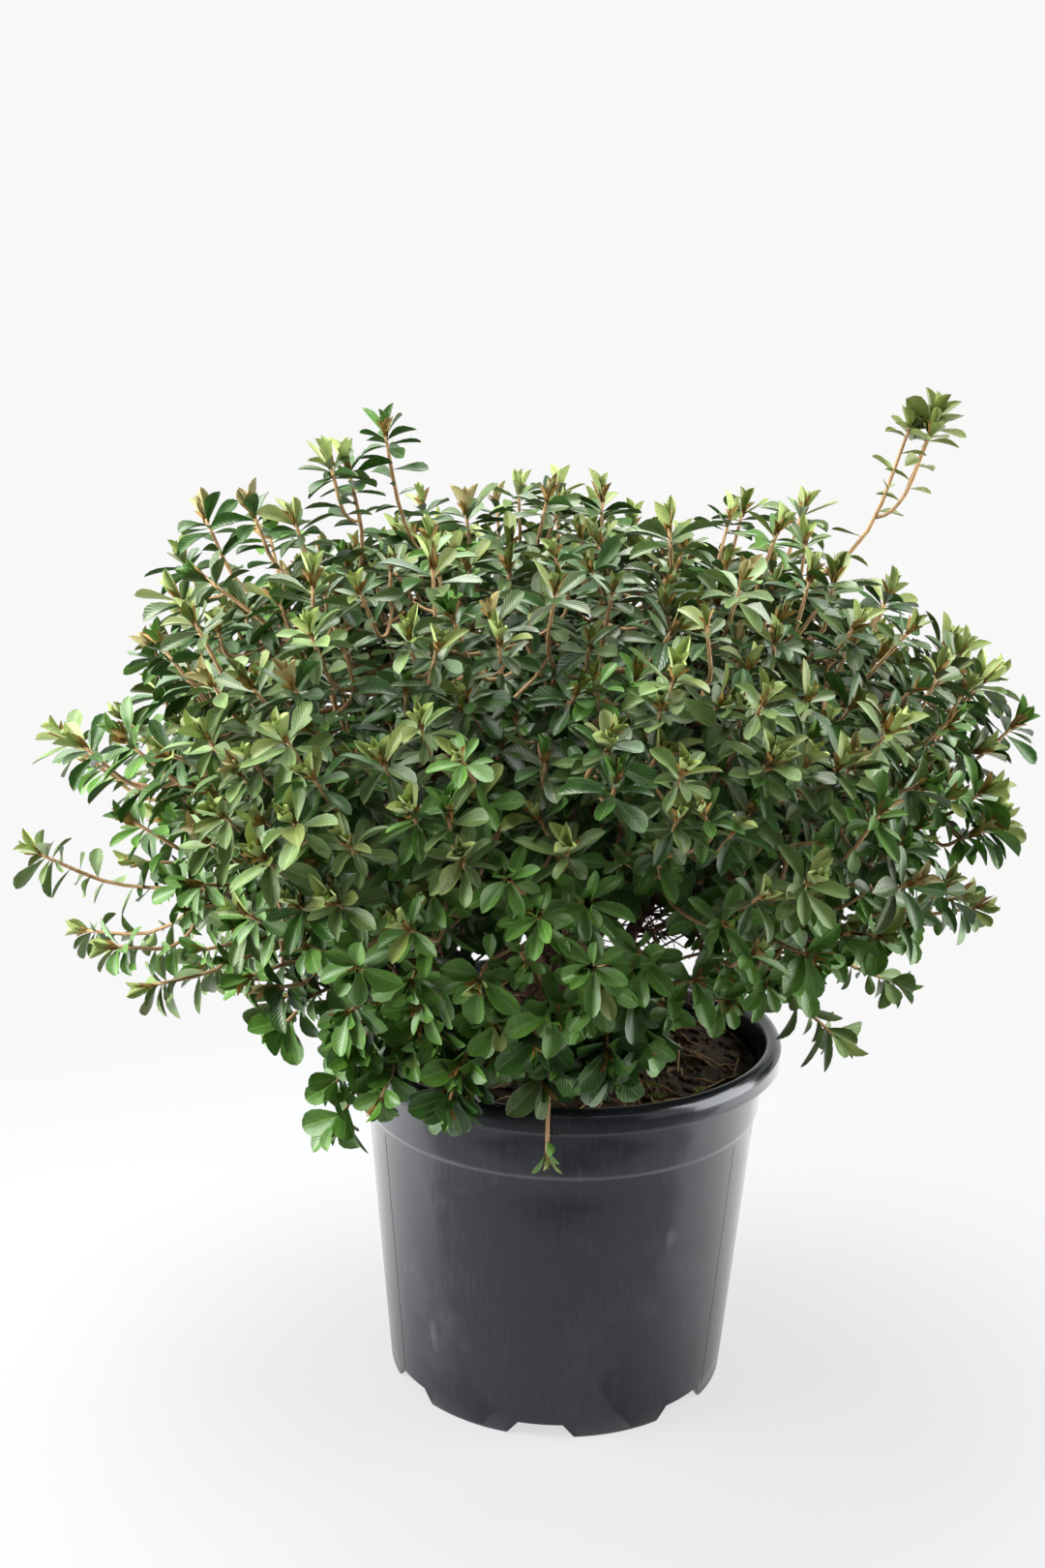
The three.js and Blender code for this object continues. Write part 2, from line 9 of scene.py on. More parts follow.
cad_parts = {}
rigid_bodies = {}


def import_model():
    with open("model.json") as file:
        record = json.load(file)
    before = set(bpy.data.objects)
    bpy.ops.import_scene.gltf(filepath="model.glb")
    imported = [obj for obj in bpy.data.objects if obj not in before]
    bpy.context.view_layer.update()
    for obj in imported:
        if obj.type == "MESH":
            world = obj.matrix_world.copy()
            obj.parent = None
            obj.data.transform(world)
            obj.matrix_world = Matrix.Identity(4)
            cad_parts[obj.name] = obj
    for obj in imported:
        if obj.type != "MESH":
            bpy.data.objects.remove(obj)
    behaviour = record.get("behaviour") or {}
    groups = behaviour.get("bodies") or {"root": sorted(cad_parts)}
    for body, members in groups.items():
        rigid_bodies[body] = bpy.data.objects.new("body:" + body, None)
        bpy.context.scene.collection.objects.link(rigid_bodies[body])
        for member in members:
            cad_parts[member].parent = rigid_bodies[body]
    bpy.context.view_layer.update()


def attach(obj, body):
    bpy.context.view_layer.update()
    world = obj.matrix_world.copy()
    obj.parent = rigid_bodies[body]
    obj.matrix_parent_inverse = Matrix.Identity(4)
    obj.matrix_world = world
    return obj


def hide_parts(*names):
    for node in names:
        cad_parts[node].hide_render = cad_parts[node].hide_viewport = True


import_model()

# ---------------------------------------------------------------- camera
# It stands a little to the left of the pot at chest height and looks down on the crown.
# The whole view leans by about a degree.

EYE = Vector((-0.038, -1.480, 0.868))
LENS_MM = 43.2
SENSOR_MM = 36  # along the frame's longer side
PITCH_DEG = 13.84
ROLL_DEG = 1.16
FAR_END = 60

bpy.ops.object.select_all(action="DESELECT")
bpy.ops.object.camera_add(location=EYE)
camera = bpy.context.object
camera.data.sensor_width = SENSOR_MM
camera.data.lens = LENS_MM
camera.data.clip_end = FAR_END
camera.matrix_world = (
    Matrix.Translation(EYE)
    @ Matrix.Rotation(math.radians(90 - PITCH_DEG), 4, "X")
    @ Matrix.Rotation(math.radians(ROLL_DEG), 4, "Z")
)
bpy.context.scene.camera = camera

# ---------------------------------------------------------------- studio
# A plain white floor under an even pale surround, with a wide soft lamp overhead and one on each side.
# Dark flags and white cards out of view leave the glossy pot darkest in the middle and pale on its flanks.


class Wire:
    """A shader socket that sums can be written with."""

    def __init__(self, finish, socket):
        self.finish = finish
        self.socket = socket

    def _sum(self, operation, first, second):
        return self.finish.node("ShaderNodeMath", {"operation": operation}, {0: first, 1: second})

    def __add__(self, other):
        return self._sum("ADD", self, other)

    def __radd__(self, other):
        return self._sum("ADD", other, self)

    def __sub__(self, other):
        return self._sum("SUBTRACT", self, other)

    def __rsub__(self, other):
        return self._sum("SUBTRACT", other, self)

    def __mul__(self, other):
        return self._sum("MULTIPLY", self, other)

    def __rmul__(self, other):
        return self._sum("MULTIPLY", other, self)

    def __abs__(self):
        return self.finish.node("ShaderNodeMath", {"operation": "ABSOLUTE"}, {0: self})


class Finish:
    """A material made of nodes, with one principled shader."""

    def __init__(self, name):
        self.material = bpy.data.materials.new(name)
        self.material.use_nodes = True
        self.tree = self.material.node_tree
        self.tree.nodes.clear()

    def node(self, kind, settings, sockets, out=0):
        """Adds a node and gives one of its outputs. A ramp's stops are pairs of place and grey level."""
        made = self.tree.nodes.new(kind)
        for key, value in settings.items():
            if key == "stops":
                while len(made.color_ramp.elements) < len(value):
                    made.color_ramp.elements.new(0.5)
                for element, (place, level) in zip(made.color_ramp.elements, value):
                    element.position = place
                    element.color = (level, level, level, 1)
            else:
                setattr(made, key, value)
        for key, value in sockets.items():
            if isinstance(value, Wire):
                self.tree.links.new(value.socket, made.inputs[key])
            else:
                made.inputs[key].default_value = value
        return Wire(self, made.outputs[out]) if made.outputs else None

    def places(self, scale=(1, 1, 1)):
        """Object coordinates, stretched."""
        where = self.node("ShaderNodeTexCoord", {}, {}, "Object")
        return self.node("ShaderNodeMapping", {}, {"Vector": where, "Scale": scale})

    def along(self, where, axis):
        return self.node("ShaderNodeSeparateXYZ", {}, {"Vector": where}, axis)

    def cloud(self, where, scale, detail=3, rough=0.55):
        return self.node("ShaderNodeTexNoise", {"noise_dimensions": "3D"},
                         {"Vector": where, "Scale": scale, "Detail": detail, "Roughness": rough}, "Fac")

    def ramp(self, value, *stops):
        return self.node("ShaderNodeValToRGB", {"stops": stops}, {"Fac": value})

    def blend(self, share, first, second, how="MIX"):
        settings = {"data_type": "RGBA", "blend_type": how}
        return self.node("ShaderNodeMix", settings, {0: share, 6: first, 7: second}, 2)

    def bump(self, height, distance, strength=1.0):
        return self.node("ShaderNodeBump", {}, {"Height": height, "Distance": distance, "Strength": strength})

    def surface(self, **sockets):
        """Sets or links the shader's sockets, named with _ for a space, and gives the material."""
        names = {key.replace("_", " "): value for key, value in sockets.items()}
        shader = self.node("ShaderNodeBsdfPrincipled", {}, names)
        self.node("ShaderNodeOutputMaterial", {}, {"Surface": shader})
        return self.material


SURROUND = (0.940, 0.940, 0.935, 1)
FLOOR_RADIUS = 12
FLOOR_DARK = (0.090, 0.091, 0.094, 1)
FLOOR_LIGHT = (0.098, 0.099, 0.102, 1)
FLOOR_GLOW = (0.655, 0.658, 0.665, 1)
FLOOR_FADES = (0.40, 1.00)  # how far from the pot's middle the floor starts to fade, and has faded
BLACK = (0, 0, 0, 1)


def floor_finish():
    """White near the pot, and as bright as the surround further off, so that no horizon shows."""
    finish = Finish("studio floor")
    where = finish.places()
    away = finish.node("ShaderNodeVectorMath", {"operation": "LENGTH"}, {0: where}, "Value")
    far = finish.ramp(away * 0.5, (FLOOR_FADES[0] * 0.5, 0), (FLOOR_FADES[1] * 0.5, 1))
    near = finish.blend(finish.cloud(where, 3.0), FLOOR_DARK, FLOOR_LIGHT)
    return finish.surface(
        Base_Color=finish.blend(far, near, BLACK), Roughness=0.9, Specular_IOR_Level=0.0,
        Emission_Color=finish.blend(far, FLOOR_GLOW, SURROUND), Emission_Strength=1.0)


bpy.ops.mesh.primitive_circle_add(vertices=96, radius=FLOOR_RADIUS, fill_type="NGON", location=(0, 0, 0))
floor = bpy.context.object
floor.name = "studio_floor"
floor.data.materials.append(floor_finish())

CARD_TONE = (0.10, 0.10, 0.10, 1)
CARD_FADE = ((0.0, 0.09), (0.70, 1.0))  # shares of the width from the inner edge, and of the glow there
CARDS = [
    # name, place, tilt, width, height, glow, whether only gloss sees it: the camera sees none of them
    ("flag_in_front", (0, -3.0, 1.3), 90, 5.0, 2.6, 0.0, False),
    ("flag_above", (0, -0.2, 2.9), 0, 5.0, 4.4, 0.0, False),
    ("dark_cloth_before_the_pot", (0, -1.82, 0.002), 0, 6.0, 2.80, 0.0, True),
    ("white_card_left", (-0.68, 0.36, 0.002), 0, 1.24, 1.02, 3.2, True),
    ("white_card_right", (0.68, 0.30, 0.002), 0, 1.24, 1.0, 3.0, True),
]
for name, place, tilt, width, height, glow, only_mirrored in CARDS:
    bpy.ops.mesh.primitive_plane_add(size=1, location=place, rotation=(math.radians(tilt), 0, 0))
    card = bpy.context.object
    card.name = name
    card.scale = (width, height, 1)
    finish = Finish(name.replace("_", " "))
    across = finish.along(finish.places(), "X")
    glowing = finish.ramp(0.5 + across * (1 if place[0] > 0 else -1), *CARD_FADE)
    card.data.materials.append(finish.surface(
        Base_Color=CARD_TONE, Roughness=1.0, Emission_Color=glowing, Emission_Strength=glow))
    card.visible_camera = False
    card.visible_diffuse = not only_mirrored
    card.visible_shadow = not only_mirrored

LAMPS = [
    # name, place, aimed at, width, height, watts
    ("lamp_above", (-0.25, 0.25, 2.1), (0, 0, 0.5), 1.5, 1.2, 92),
    ("lamp_left", (-1.20, -0.30, 0.80), (0, 0, 0.55), 1.0, 1.6, 62),
    ("lamp_right", (1.25, -0.12, 0.80), (0, 0, 0.55), 1.0, 1.6, 38),
]
for name, place, aim, width, height, watts in LAMPS:
    bpy.ops.object.light_add(type="AREA", location=place)
    lamp = bpy.context.object
    lamp.name = name
    lamp.data.shape = "RECTANGLE"
    lamp.data.size = width
    lamp.data.size_y = height
    lamp.data.energy = watts
    lamp.rotation_euler = (Vector(aim) - Vector(place)).to_track_quat("-Z", "Y").to_euler()

surround = bpy.data.worlds.new("pale surround")
surround.use_nodes = True
surround.node_tree.nodes["Background"].inputs["Color"].default_value = SURROUND
surround.node_tree.nodes["Background"].inputs["Strength"].default_value = 1.0
bpy.context.scene.world = surround
bpy.context.scene.view_settings.view_transform = "Standard"

# ---------------------------------------------------------------- pot
# A nursery container moulded in black recycled plastic: a thin tapering wall, a low step under the
# neck, a turned-down rim, and a foot with drainage notches. The mould leaves three thin upright lines.

POT_HEIGHT = 0.297
RIM_RADIUS = 0.182
FOOT_RADIUS = 0.142
STEP_RADIUS = 0.1625
STEP_HEIGHT = 0.234
NECK_RADIUS = 0.168
POT_WALL = 0.0026
DISC_RADIUS = 0.096
CHANNEL_HEIGHT = 0.011
NOTCHES = 7
NOTCH_FIRST_DEG = -44
NOTCH_DEPTH = 0.020
NOTCH_FOOT_WIDTH = 0.058
NOTCH_TOP_WIDTH = 0.036
DRAIN_RADIUS = 0.0065
MOULD_LINES_DEG = (-32, -152, 88)
MOULD_LINE = (0.0010, 0.0011)  # how thick and how wide
POT_SPIN_STEPS = 144
POT_BLACK = (0.0085, 0.0092, 0.0118, 1)
POT_SCUFFED = (0.085, 0.090, 0.102, 1)


def clear_selection():
    if bpy.context.object and bpy.context.object.mode != "OBJECT":
        bpy.ops.object.mode_set(mode="OBJECT")
    bpy.ops.object.select_all(action="DESELECT")


def pick(obj):
    clear_selection()
    obj.select_set(True)
    bpy.context.view_layer.objects.active = obj
    return obj


def turned_solid(name, profile, steps):
    """A profile of (radius, height) from the axis out and back to it, drawn point by point and spun round."""
    clear_selection()
    bpy.ops.mesh.primitive_plane_add(size=1, location=(0, 0, 0))
    made = bpy.context.object
    made.name = name
    bpy.ops.object.mode_set(mode="EDIT")
    bpy.ops.mesh.select_all(action="SELECT")
    bpy.ops.mesh.merge(type="CENTER")
    bpy.ops.transform.translate(value=(profile[0][0], 0, profile[0][1]))
    for (radius, height), (next_radius, next_height) in zip(profile, profile[1:]):
        step = (next_radius - radius, 0, next_height - height)
        bpy.ops.mesh.extrude_vertices_move(TRANSFORM_OT_translate={"value": step})
    bpy.ops.mesh.select_all(action="SELECT")
    bpy.ops.mesh.spin(steps=steps, angle=2 * math.pi, center=(0, 0, 0), axis=(0, 0, 1))
    bpy.ops.mesh.select_all(action="SELECT")
    bpy.ops.mesh.remove_doubles(threshold=2e-6)
    bpy.ops.mesh.normals_make_consistent(inside=False)
    bpy.ops.object.mode_set(mode="OBJECT")
    return made


def fix_place(obj):
    """Puts an object's place, turn and size into its mesh."""
    pick(obj)
    bpy.ops.object.transform_apply(location=True, rotation=True, scale=True)
    return obj


def join(first, others):
    pick(first)
    for other in others:
        other.select_set(True)
    bpy.ops.object.join()
    return first


def cut_away(obj, cutter):
    pick(obj)
    cut = obj.modifiers.new("cut", "BOOLEAN")
    cut.operation = "DIFFERENCE"
    cut.solver = "EXACT"
    cut.object = cutter
    bpy.ops.object.modifier_apply(modifier=cut.name)
    bpy.data.objects.remove(cutter)


def pot_profile():
    outer, foot = RIM_RADIUS, FOOT_RADIUS
    inner_channel = foot - POT_WALL - 0.001
    top = POT_HEIGHT
    outside = [
        (0, 0), (DISC_RADIUS - 0.001, 0), (DISC_RADIUS + 0.001, 0.001),
        (DISC_RADIUS + 0.011, CHANNEL_HEIGHT - 0.0005), (DISC_RADIUS + 0.013, CHANNEL_HEIGHT),
        (inner_channel - 0.001, CHANNEL_HEIGHT), (inner_channel, CHANNEL_HEIGHT - 0.001),
        (inner_channel + 0.0001, 0.0006), (inner_channel + 0.0006, 0), (foot - 0.0007, 0), (foot, 0.0008),
    ]
    rise = [0.02, 0.07, 0.12, 0.17, 0.21, STEP_HEIGHT - 0.0015]
    outside += [(foot + (STEP_RADIUS - foot) * z / STEP_HEIGHT, z) for z in rise]
    outside += [
        (STEP_RADIUS + 0.0003, STEP_HEIGHT), (STEP_RADIUS + 0.0020, STEP_HEIGHT + 0.0030),
        (STEP_RADIUS + 0.0024, STEP_HEIGHT + 0.0045), (STEP_RADIUS + 0.0036, STEP_HEIGHT + 0.025),
        (NECK_RADIUS - 0.0004, top - 0.0115), (NECK_RADIUS + 0.0010, top - 0.0092),
        (outer - 0.0050, top - 0.0088), (outer - 0.0036, top - 0.0100), (outer - 0.0031, top - 0.0180),
        (outer - 0.0024, top - 0.0190), (outer - 0.0010, top - 0.0190), (outer - 0.0002, top - 0.0180),
        (outer, top - 0.0155), (outer - 0.0001, top - 0.0090), (outer - 0.0010, top - 0.0052),
        (outer - 0.0032, top - 0.0020), (outer - 0.0060, top - 0.0004), (outer - 0.0085, top),
        (outer - 0.0110, top - 0.0007), (NECK_RADIUS + 0.0012, top - 0.0026),
        (NECK_RADIUS - 0.0004, top - 0.0055), (NECK_RADIUS - POT_WALL, top - 0.0140),
    ]
    return outside + [
        (STEP_RADIUS - POT_WALL, STEP_HEIGHT), (foot - POT_WALL + 0.0012, CHANNEL_HEIGHT + POT_WALL),
        (DISC_RADIUS + 0.011, CHANNEL_HEIGHT + POT_WALL), (DISC_RADIUS - 0.001, POT_WALL), (0, POT_WALL),
    ]


def notch_cutters():
    """Seven blocks, narrower at the top, and the round drain hole inside each."""
    blocks = []
    for k in range(NOTCHES):
        turn = Matrix.Rotation(math.radians(NOTCH_FIRST_DEG + 360 / NOTCHES * k), 4, "Z")
        bpy.ops.mesh.primitive_cube_add(size=1)
        block = bpy.context.object
        for vertex in block.data.vertices:
            high = vertex.co.z > 0
            vertex.co.x = FOOT_RADIUS + vertex.co.x * NOTCH_DEPTH
            vertex.co.y *= NOTCH_TOP_WIDTH if high else NOTCH_FOOT_WIDTH
            vertex.co.z = CHANNEL_HEIGHT + 0.0006 if high else -0.002
        bpy.ops.mesh.primitive_cylinder_add(vertices=20, radius=DRAIN_RADIUS, depth=0.012)
        drain = bpy.context.object
        drain.data.transform(Matrix.Translation((FOOT_RADIUS - NOTCH_DEPTH, 0, CHANNEL_HEIGHT + 0.001)))
        for made in (block, drain):
            made.data.transform(turn)
            blocks.append(made)
    return join(blocks[0], blocks[1:])


def mould_lines():
    """Thin raised lines up the wall, where the two halves of the mould met."""
    ridges = []
    lean = math.atan2(STEP_RADIUS - FOOT_RADIUS, STEP_HEIGHT)
    for degrees in MOULD_LINES_DEG:
        bpy.ops.mesh.primitive_cube_add(size=1)
        ridge = bpy.context.object
        ridge.data.transform(Matrix.Diagonal((*MOULD_LINE, STEP_HEIGHT - 0.018, 1)))
        middle = Vector(((FOOT_RADIUS + STEP_RADIUS) / 2, 0, STEP_HEIGHT / 2 + 0.004))
        ridge.data.transform(Matrix.Translation(middle) @ Matrix.Rotation(lean, 4, "Y"))
        ridge.data.transform(Matrix.Rotation(math.radians(degrees), 4, "Z"))
        ridges.append(ridge)
    return ridges


def pot_finish():
    """Black plastic with fine upright streaks, pale scuffs and smears, and dust along the step."""
    finish = Finish("black nursery plastic")
    where = finish.places()
    streaks = finish.cloud(finish.places((1, 1, 0.045)), 420, 4, 0.6)
    scuffs = finish.ramp(finish.cloud(where, 16, 5, 0.65), (0.52, 0), (0.78, 1))
    smears = finish.ramp(finish.cloud(finish.places((1, 1, 0.4)), 34, 2, 0.5), (0.66, 0), (0.74, 1))
    off_step = abs(finish.along(where, "Z") - (STEP_HEIGHT + 0.0008))
    dust_on_step = finish.ramp(off_step * 100, (0.06, 1), (0.22, 0))
    pale = scuffs * 0.16 + smears * 0.34 + (streaks - 0.5) * 0.30 + dust_on_step * 0.45
    rough = 0.18 + scuffs * 0.12 + smears * 0.12 + (streaks - 0.5) * 0.12
    grain = finish.cloud(where, 900, 2, 0.5)
    relief = finish.bump(streaks * 0.7 + grain * 0.3, 0.00012, 0.4)
    return finish.surface(
        Base_Color=finish.blend(pale, POT_BLACK, POT_SCUFFED), Roughness=rough, Normal=relief,
        Specular_IOR_Level=0.5, Specular_Tint=(0.93, 0.96, 1.0, 1))


pot = turned_solid("nursery_pot", pot_profile(), POT_SPIN_STEPS)
cut_away(pot, notch_cutters())
join(pot, mould_lines())
fix_place(pot)
bpy.ops.object.shade_smooth_by_angle(angle=math.radians(38))
pot.data.materials.clear()
pot.data.materials.append(pot_finish())
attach(pot, "root")
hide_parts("pot")

# ---------------------------------------------------------------- compost
# Damp dark peat that has sunk two fingers below the rim and rises a little to the stem.
# Fallen leaves, bark crumbs, bits of twig and small pads of moss lie on it.

SOIL_EDGE_HEIGHT = 0.268
SOIL_HEIGHT = 0.281
SOIL_FLAT_RADIUS = 0.040
SOIL_RADIUS = 0.1625
SOIL_SPIN_STEPS = 132
STREWN_OVER = 0.955  # of the compost's radius
CRUMBS = 1500
FALLEN_LEAVES = 150
FALLEN_TWIGS = 110


def soil_level(radius):
    """Height of the compost's top at a distance from the pot's middle."""
    return float(np.interp(radius, [0, SOIL_FLAT_RADIUS, 0.078, 0.122, SOIL_RADIUS],
                           [SOIL_HEIGHT, SOIL_HEIGHT, SOIL_HEIGHT - 0.002, SOIL_EDGE_HEIGHT + 0.006,
                            SOIL_EDGE_HEIGHT]))


def lumpy(obj, texture_size, strength, name):
    """Moves a mesh along its normals by a cloud pattern."""
    cloud = bpy.data.textures.new(name, "CLOUDS")
    cloud.noise_scale = texture_size
    cloud.noise_depth = 3
    pick(obj)
    lift = obj.modifiers.new(name, "DISPLACE")
    lift.texture = cloud
    lift.texture_coords = "LOCAL"
    lift.strength = strength
    lift.mid_level = 0.5
    bpy.ops.object.modifier_apply(modifier=lift.name)


def seeded(seed):
    """The same run of numbers from 0 to 1 for the same seed, as in the solids' source."""
    state = seed

    def draw():
        nonlocal state
        state = (state * 1664525 + 1013904223) % 4294967296
        return state / 4294967296

    return draw


def copies(name, template, placements, materials, kinds):
    """One mesh of many copies of a template, each placed by a 4x4 matrix and given a material."""
    points = np.array([vertex.co[:] for vertex in template.data.vertices])
    corners = np.array([c.vertex_index for c in template.data.loops])
    sizes = np.array([face.loop_total for face in template.data.polygons])
    turns = np.array([np.array(matrix) for matrix in placements])
    count = len(turns)
    placed = np.einsum("nij,vj->nvi", turns[:, :3, :3], points) + turns[:, None, :3, 3]
    mesh = bpy.data.meshes.new(name)
    mesh.vertices.add(count * len(points))
    mesh.vertices.foreach_set("co", placed.astype(np.float32).ravel())
    mesh.loops.add(count * len(corners))
    shift = np.arange(count)[:, None] * len(points)
    mesh.loops.foreach_set("vertex_index", (corners[None] + shift).astype(np.int32).ravel())
    mesh.polygons.add(count * len(sizes))
    starts = np.concatenate([[0], np.cumsum(np.tile(sizes, count))[:-1]])
    mesh.polygons.foreach_set("loop_start", starts.astype(np.int32))
    mesh.polygons.foreach_set("material_index", np.repeat(np.array(kinds, np.int32), len(sizes)))
    mesh.polygons.foreach_set("use_smooth", np.ones(count * len(sizes), bool))
    if template.data.uv_layers:
        flat = np.zeros(len(corners) * 2, np.float32)
        template.data.uv_layers[0].data.foreach_get("uv", flat)
        mesh.uv_layers.new(name="blade").data.foreach_set("uv", np.tile(flat, count))
    mesh.update(calc_edges=True)
    for material in materials:
        mesh.materials.append(material)
    made = bpy.data.objects.new(name, mesh)
    bpy.context.collection.objects.link(made)
    return made


def soil_finish(name, dark, light, scale):
    """Crumbly stuff in two tones, in patches of a size and in fine grains."""
    finish = Finish(name)
    where = finish.places()
    patches = finish.ramp(finish.cloud(where, scale, 6, 0.7), (0.32, 0), (0.70, 1))
    fine = finish.cloud(where, 700, 3, 0.7)
    tone = finish.blend(patches * 0.6 + fine * 0.4, dark, light)
    return finish.surface(Base_Color=tone, Roughness=0.92, Normal=finish.bump(fine, 0.0012, 0.8))


peat = soil_finish("damp peat", (0.012, 0.009, 0.004, 1), (0.095, 0.062, 0.032, 1), 120)
bark_crumb = soil_finish("bark crumbs", (0.040, 0.016, 0.008, 1), (0.120, 0.055, 0.028, 1), 200)
moss = soil_finish("pads of moss", (0.022, 0.032, 0.008, 1), (0.070, 0.090, 0.022, 1), 260)
straw = soil_finish("old dry leaves", (0.170, 0.120, 0.055, 1), (0.270, 0.210, 0.105, 1), 160)

soil_rings = [(radius, soil_level(radius)) for radius in np.linspace(SOIL_RADIUS - 0.0008, 0.004, 30)]
soil_under = [(0, POT_WALL + 0.0004), (DISC_RADIUS - 0.002, POT_WALL + 0.0004),
              (DISC_RADIUS + 0.010, CHANNEL_HEIGHT + 0.0034), (FOOT_RADIUS - 0.004, CHANNEL_HEIGHT + 0.0034),
              (STEP_RADIUS - 0.0034, STEP_HEIGHT - 0.002)]
compost = turned_solid("compost_bed", soil_under + soil_rings + [(0, SOIL_HEIGHT)], SOIL_SPIN_STEPS)
for size, strength, label in ((0.030, 0.006, "humps"), (0.006, 0.0042, "crumbs"), (0.0022, 0.0016, "grit")):
    lumpy(compost, size, strength, label)
for vertex in compost.data.vertices:
    radius = vertex.co.xy.length
    room = float(np.interp(vertex.co.z, [0.02, STEP_HEIGHT, POT_HEIGHT - 0.014],
                           [FOOT_RADIUS - 0.0032, STEP_RADIUS - 0.0031, NECK_RADIUS - 0.0031]))
    if radius > room:
        vertex.co.xy *= room / radius
compost.data.materials.append(peat)
pick(compost)
bpy.ops.object.shade_smooth()
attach(compost, "root")
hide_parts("compost")


def crumb_template():
    bpy.ops.mesh.primitive_ico_sphere_add(subdivisions=1, radius=1)
    made = bpy.context.object
    for vertex in made.data.vertices:
        vertex.co *= 0.8 + 0.4 * abs(noise.noise(vertex.co * 2.3))
    return made


def scattered(draw, count, smallest, largest, flat, lift):
    """Places on the compost, each with its own turn and size."""
    found = []
    for _ in range(count):
        radius = SOIL_RADIUS * STREWN_OVER * math.sqrt(draw())
        angle = 2 * math.pi * draw()
        size = smallest + (largest - smallest) * draw() ** 3
        place = Vector((radius * math.cos(angle), radius * math.sin(angle), soil_level(radius) + lift * size))
        turn = Matrix.Rotation(2 * math.pi * draw(), 4, "Z") @ Matrix.Rotation(0.5 * (draw() - 0.5), 4, "X")
        stretch = Matrix.Diagonal((size * (0.8 + 0.9 * draw()), size, size * flat, 1))
        found.append(Matrix.Translation(place) @ turn @ stretch)
    return found


soil_draw = seeded(71)
crumb = crumb_template()
crumb_places = scattered(soil_draw, CRUMBS, 0.0011, 0.0046, 0.7, 0.35)
crumb_kinds = [2 if soil_draw() < 0.08 else 1 if soil_draw() < 0.4 else 0 for _ in crumb_places]
crumbs = copies("compost_crumbs", crumb, crumb_places, [peat, bark_crumb, moss], crumb_kinds)
bpy.data.objects.remove(crumb)
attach(crumbs, "root")

# ---------------------------------------------------------------- trunk and boughs
# A short stool flares out of the compost and divides at once into fifteen thin boughs in three tiers.
# Their bark is thin and red-brown, and flakes in narrow strips.

CLEAR = 0.0003
TRUNK_HEIGHT = 0.096
TRUNK_FOOT_RADIUS = 0.031
TRUNK_RADIUS = 0.019
TRUNK_TOP_RADIUS = 0.013
TRUNK_LEAN = (0.005, -0.004)
TRUNK_FLARE_HEIGHT = 0.009
TRUNK_RINGS = 26
BOUGH_FOOT_RADIUS = 0.0066
BOUGH_TIP_RADIUS = 0.0042
BOUGH_STOP = 0.074  # how far a bough ends short of the middle of its mass
BOUGH_RINGS = 40
LEAVING_PULL = 0.3
ARRIVING_PULL = 0.25
CROWN_CENTRE = Vector((-0.008, -0.014, 0.515))
CROWN_HALF_WIDTH = 0.326
CROWN_HALF_DEPTH = 0.285
CROWN_UP = 0.203
CROWN_DOWN = 0.205
CROWN_DROOP = 0.018
DROOP_AZIMUTH_DEG = 235
CROWN_SQUARENESS = 2.45
CROWN_SLANT = 0.4
TIERS = [
    # name, boughs, first azimuth, elevation, share of the way out, height where they leave, lean
    ("skirt", 7, 12, -13, 0.66, 0.030, 66),
    ("shoulder", 5, -20, 33, 0.64, 0.060, 38),
    ("top", 3, 50, 64, 0.62, 0.078, 24),
]
TRUNK_FOOT = SOIL_HEIGHT + CLEAR
WANDER_SEED = 5

noise.seed_set(WANDER_SEED)  # the wander of boughs and twigs would differ from run to run without it


def direction(azimuth_deg, elevation_deg):
    """A unit vector, its azimuth counted from +X towards +Y."""
    a, e = math.radians(azimuth_deg), math.radians(elevation_deg)
    return Vector((math.cos(a) * math.cos(e), math.sin(a) * math.cos(e), math.sin(e)))


def crown_reach(d):
    """Distance from the crown's centre to its surface along a direction."""
    towards = math.cos(math.atan2(d.y, d.x) - math.radians(DROOP_AZIMUTH_DEG))
    height = CROWN_UP if d.z > 0 else CROWN_DOWN + CROWN_DROOP * towards
    shares = (d.x / CROWN_HALF_WIDTH, d.y / CROWN_HALF_DEPTH, d.z / height)
    power = CROWN_SQUARENESS - CROWN_SLANT * d.x
    return sum(abs(share) ** power for share in shares) ** (-1 / power)


def trunk_axis(height):
    share = height / TRUNK_HEIGHT
    return Vector((TRUNK_LEAN[0] * share, TRUNK_LEAN[1] * share, TRUNK_FOOT + height))


def trunk_radius(height):
    share = height / TRUNK_HEIGHT
    flare = (TRUNK_FOOT_RADIUS - TRUNK_RADIUS) * math.exp(-height / TRUNK_FLARE_HEIGHT)
    return TRUNK_RADIUS + (TRUNK_TOP_RADIUS - TRUNK_RADIUS) * share + flare


def bezier(points, t):
    """A point on a Bezier curve of three or four control points."""
    while len(points) > 1:
        points = [a.lerp(b, t) for a, b in zip(points, points[1:])]
    return points[0]


def bough_plan():
    """Where each bough starts, the curve it takes, and the middle of the mass it carries."""
    draw = seeded(5)
    plan = []
    for tier, count, first, elevation, share, leave, lean in TIERS:
        for k in range(count):
            azimuth = first + 360 / count * k
            d = direction(azimuth, elevation + 6 * (draw() - 0.5))
            hub = CROWN_CENTRE + d * crown_reach(d) * share
            foot = trunk_axis(leave + 0.009 * (k % 2))
            span = (hub - foot).length
            arriving = ((hub - foot).normalized() + d).normalized()
            tip = hub - arriving * BOUGH_STOP
            leaving = foot + direction(azimuth, 90 - lean) * span * LEAVING_PULL
            control = [foot, leaving, tip - arriving * span * ARRIVING_PULL, tip]
            plan.append({"name": f"{tier}_{k + 1}", "hub": hub, "control": control})
    return plan


boughs = bough_plan()


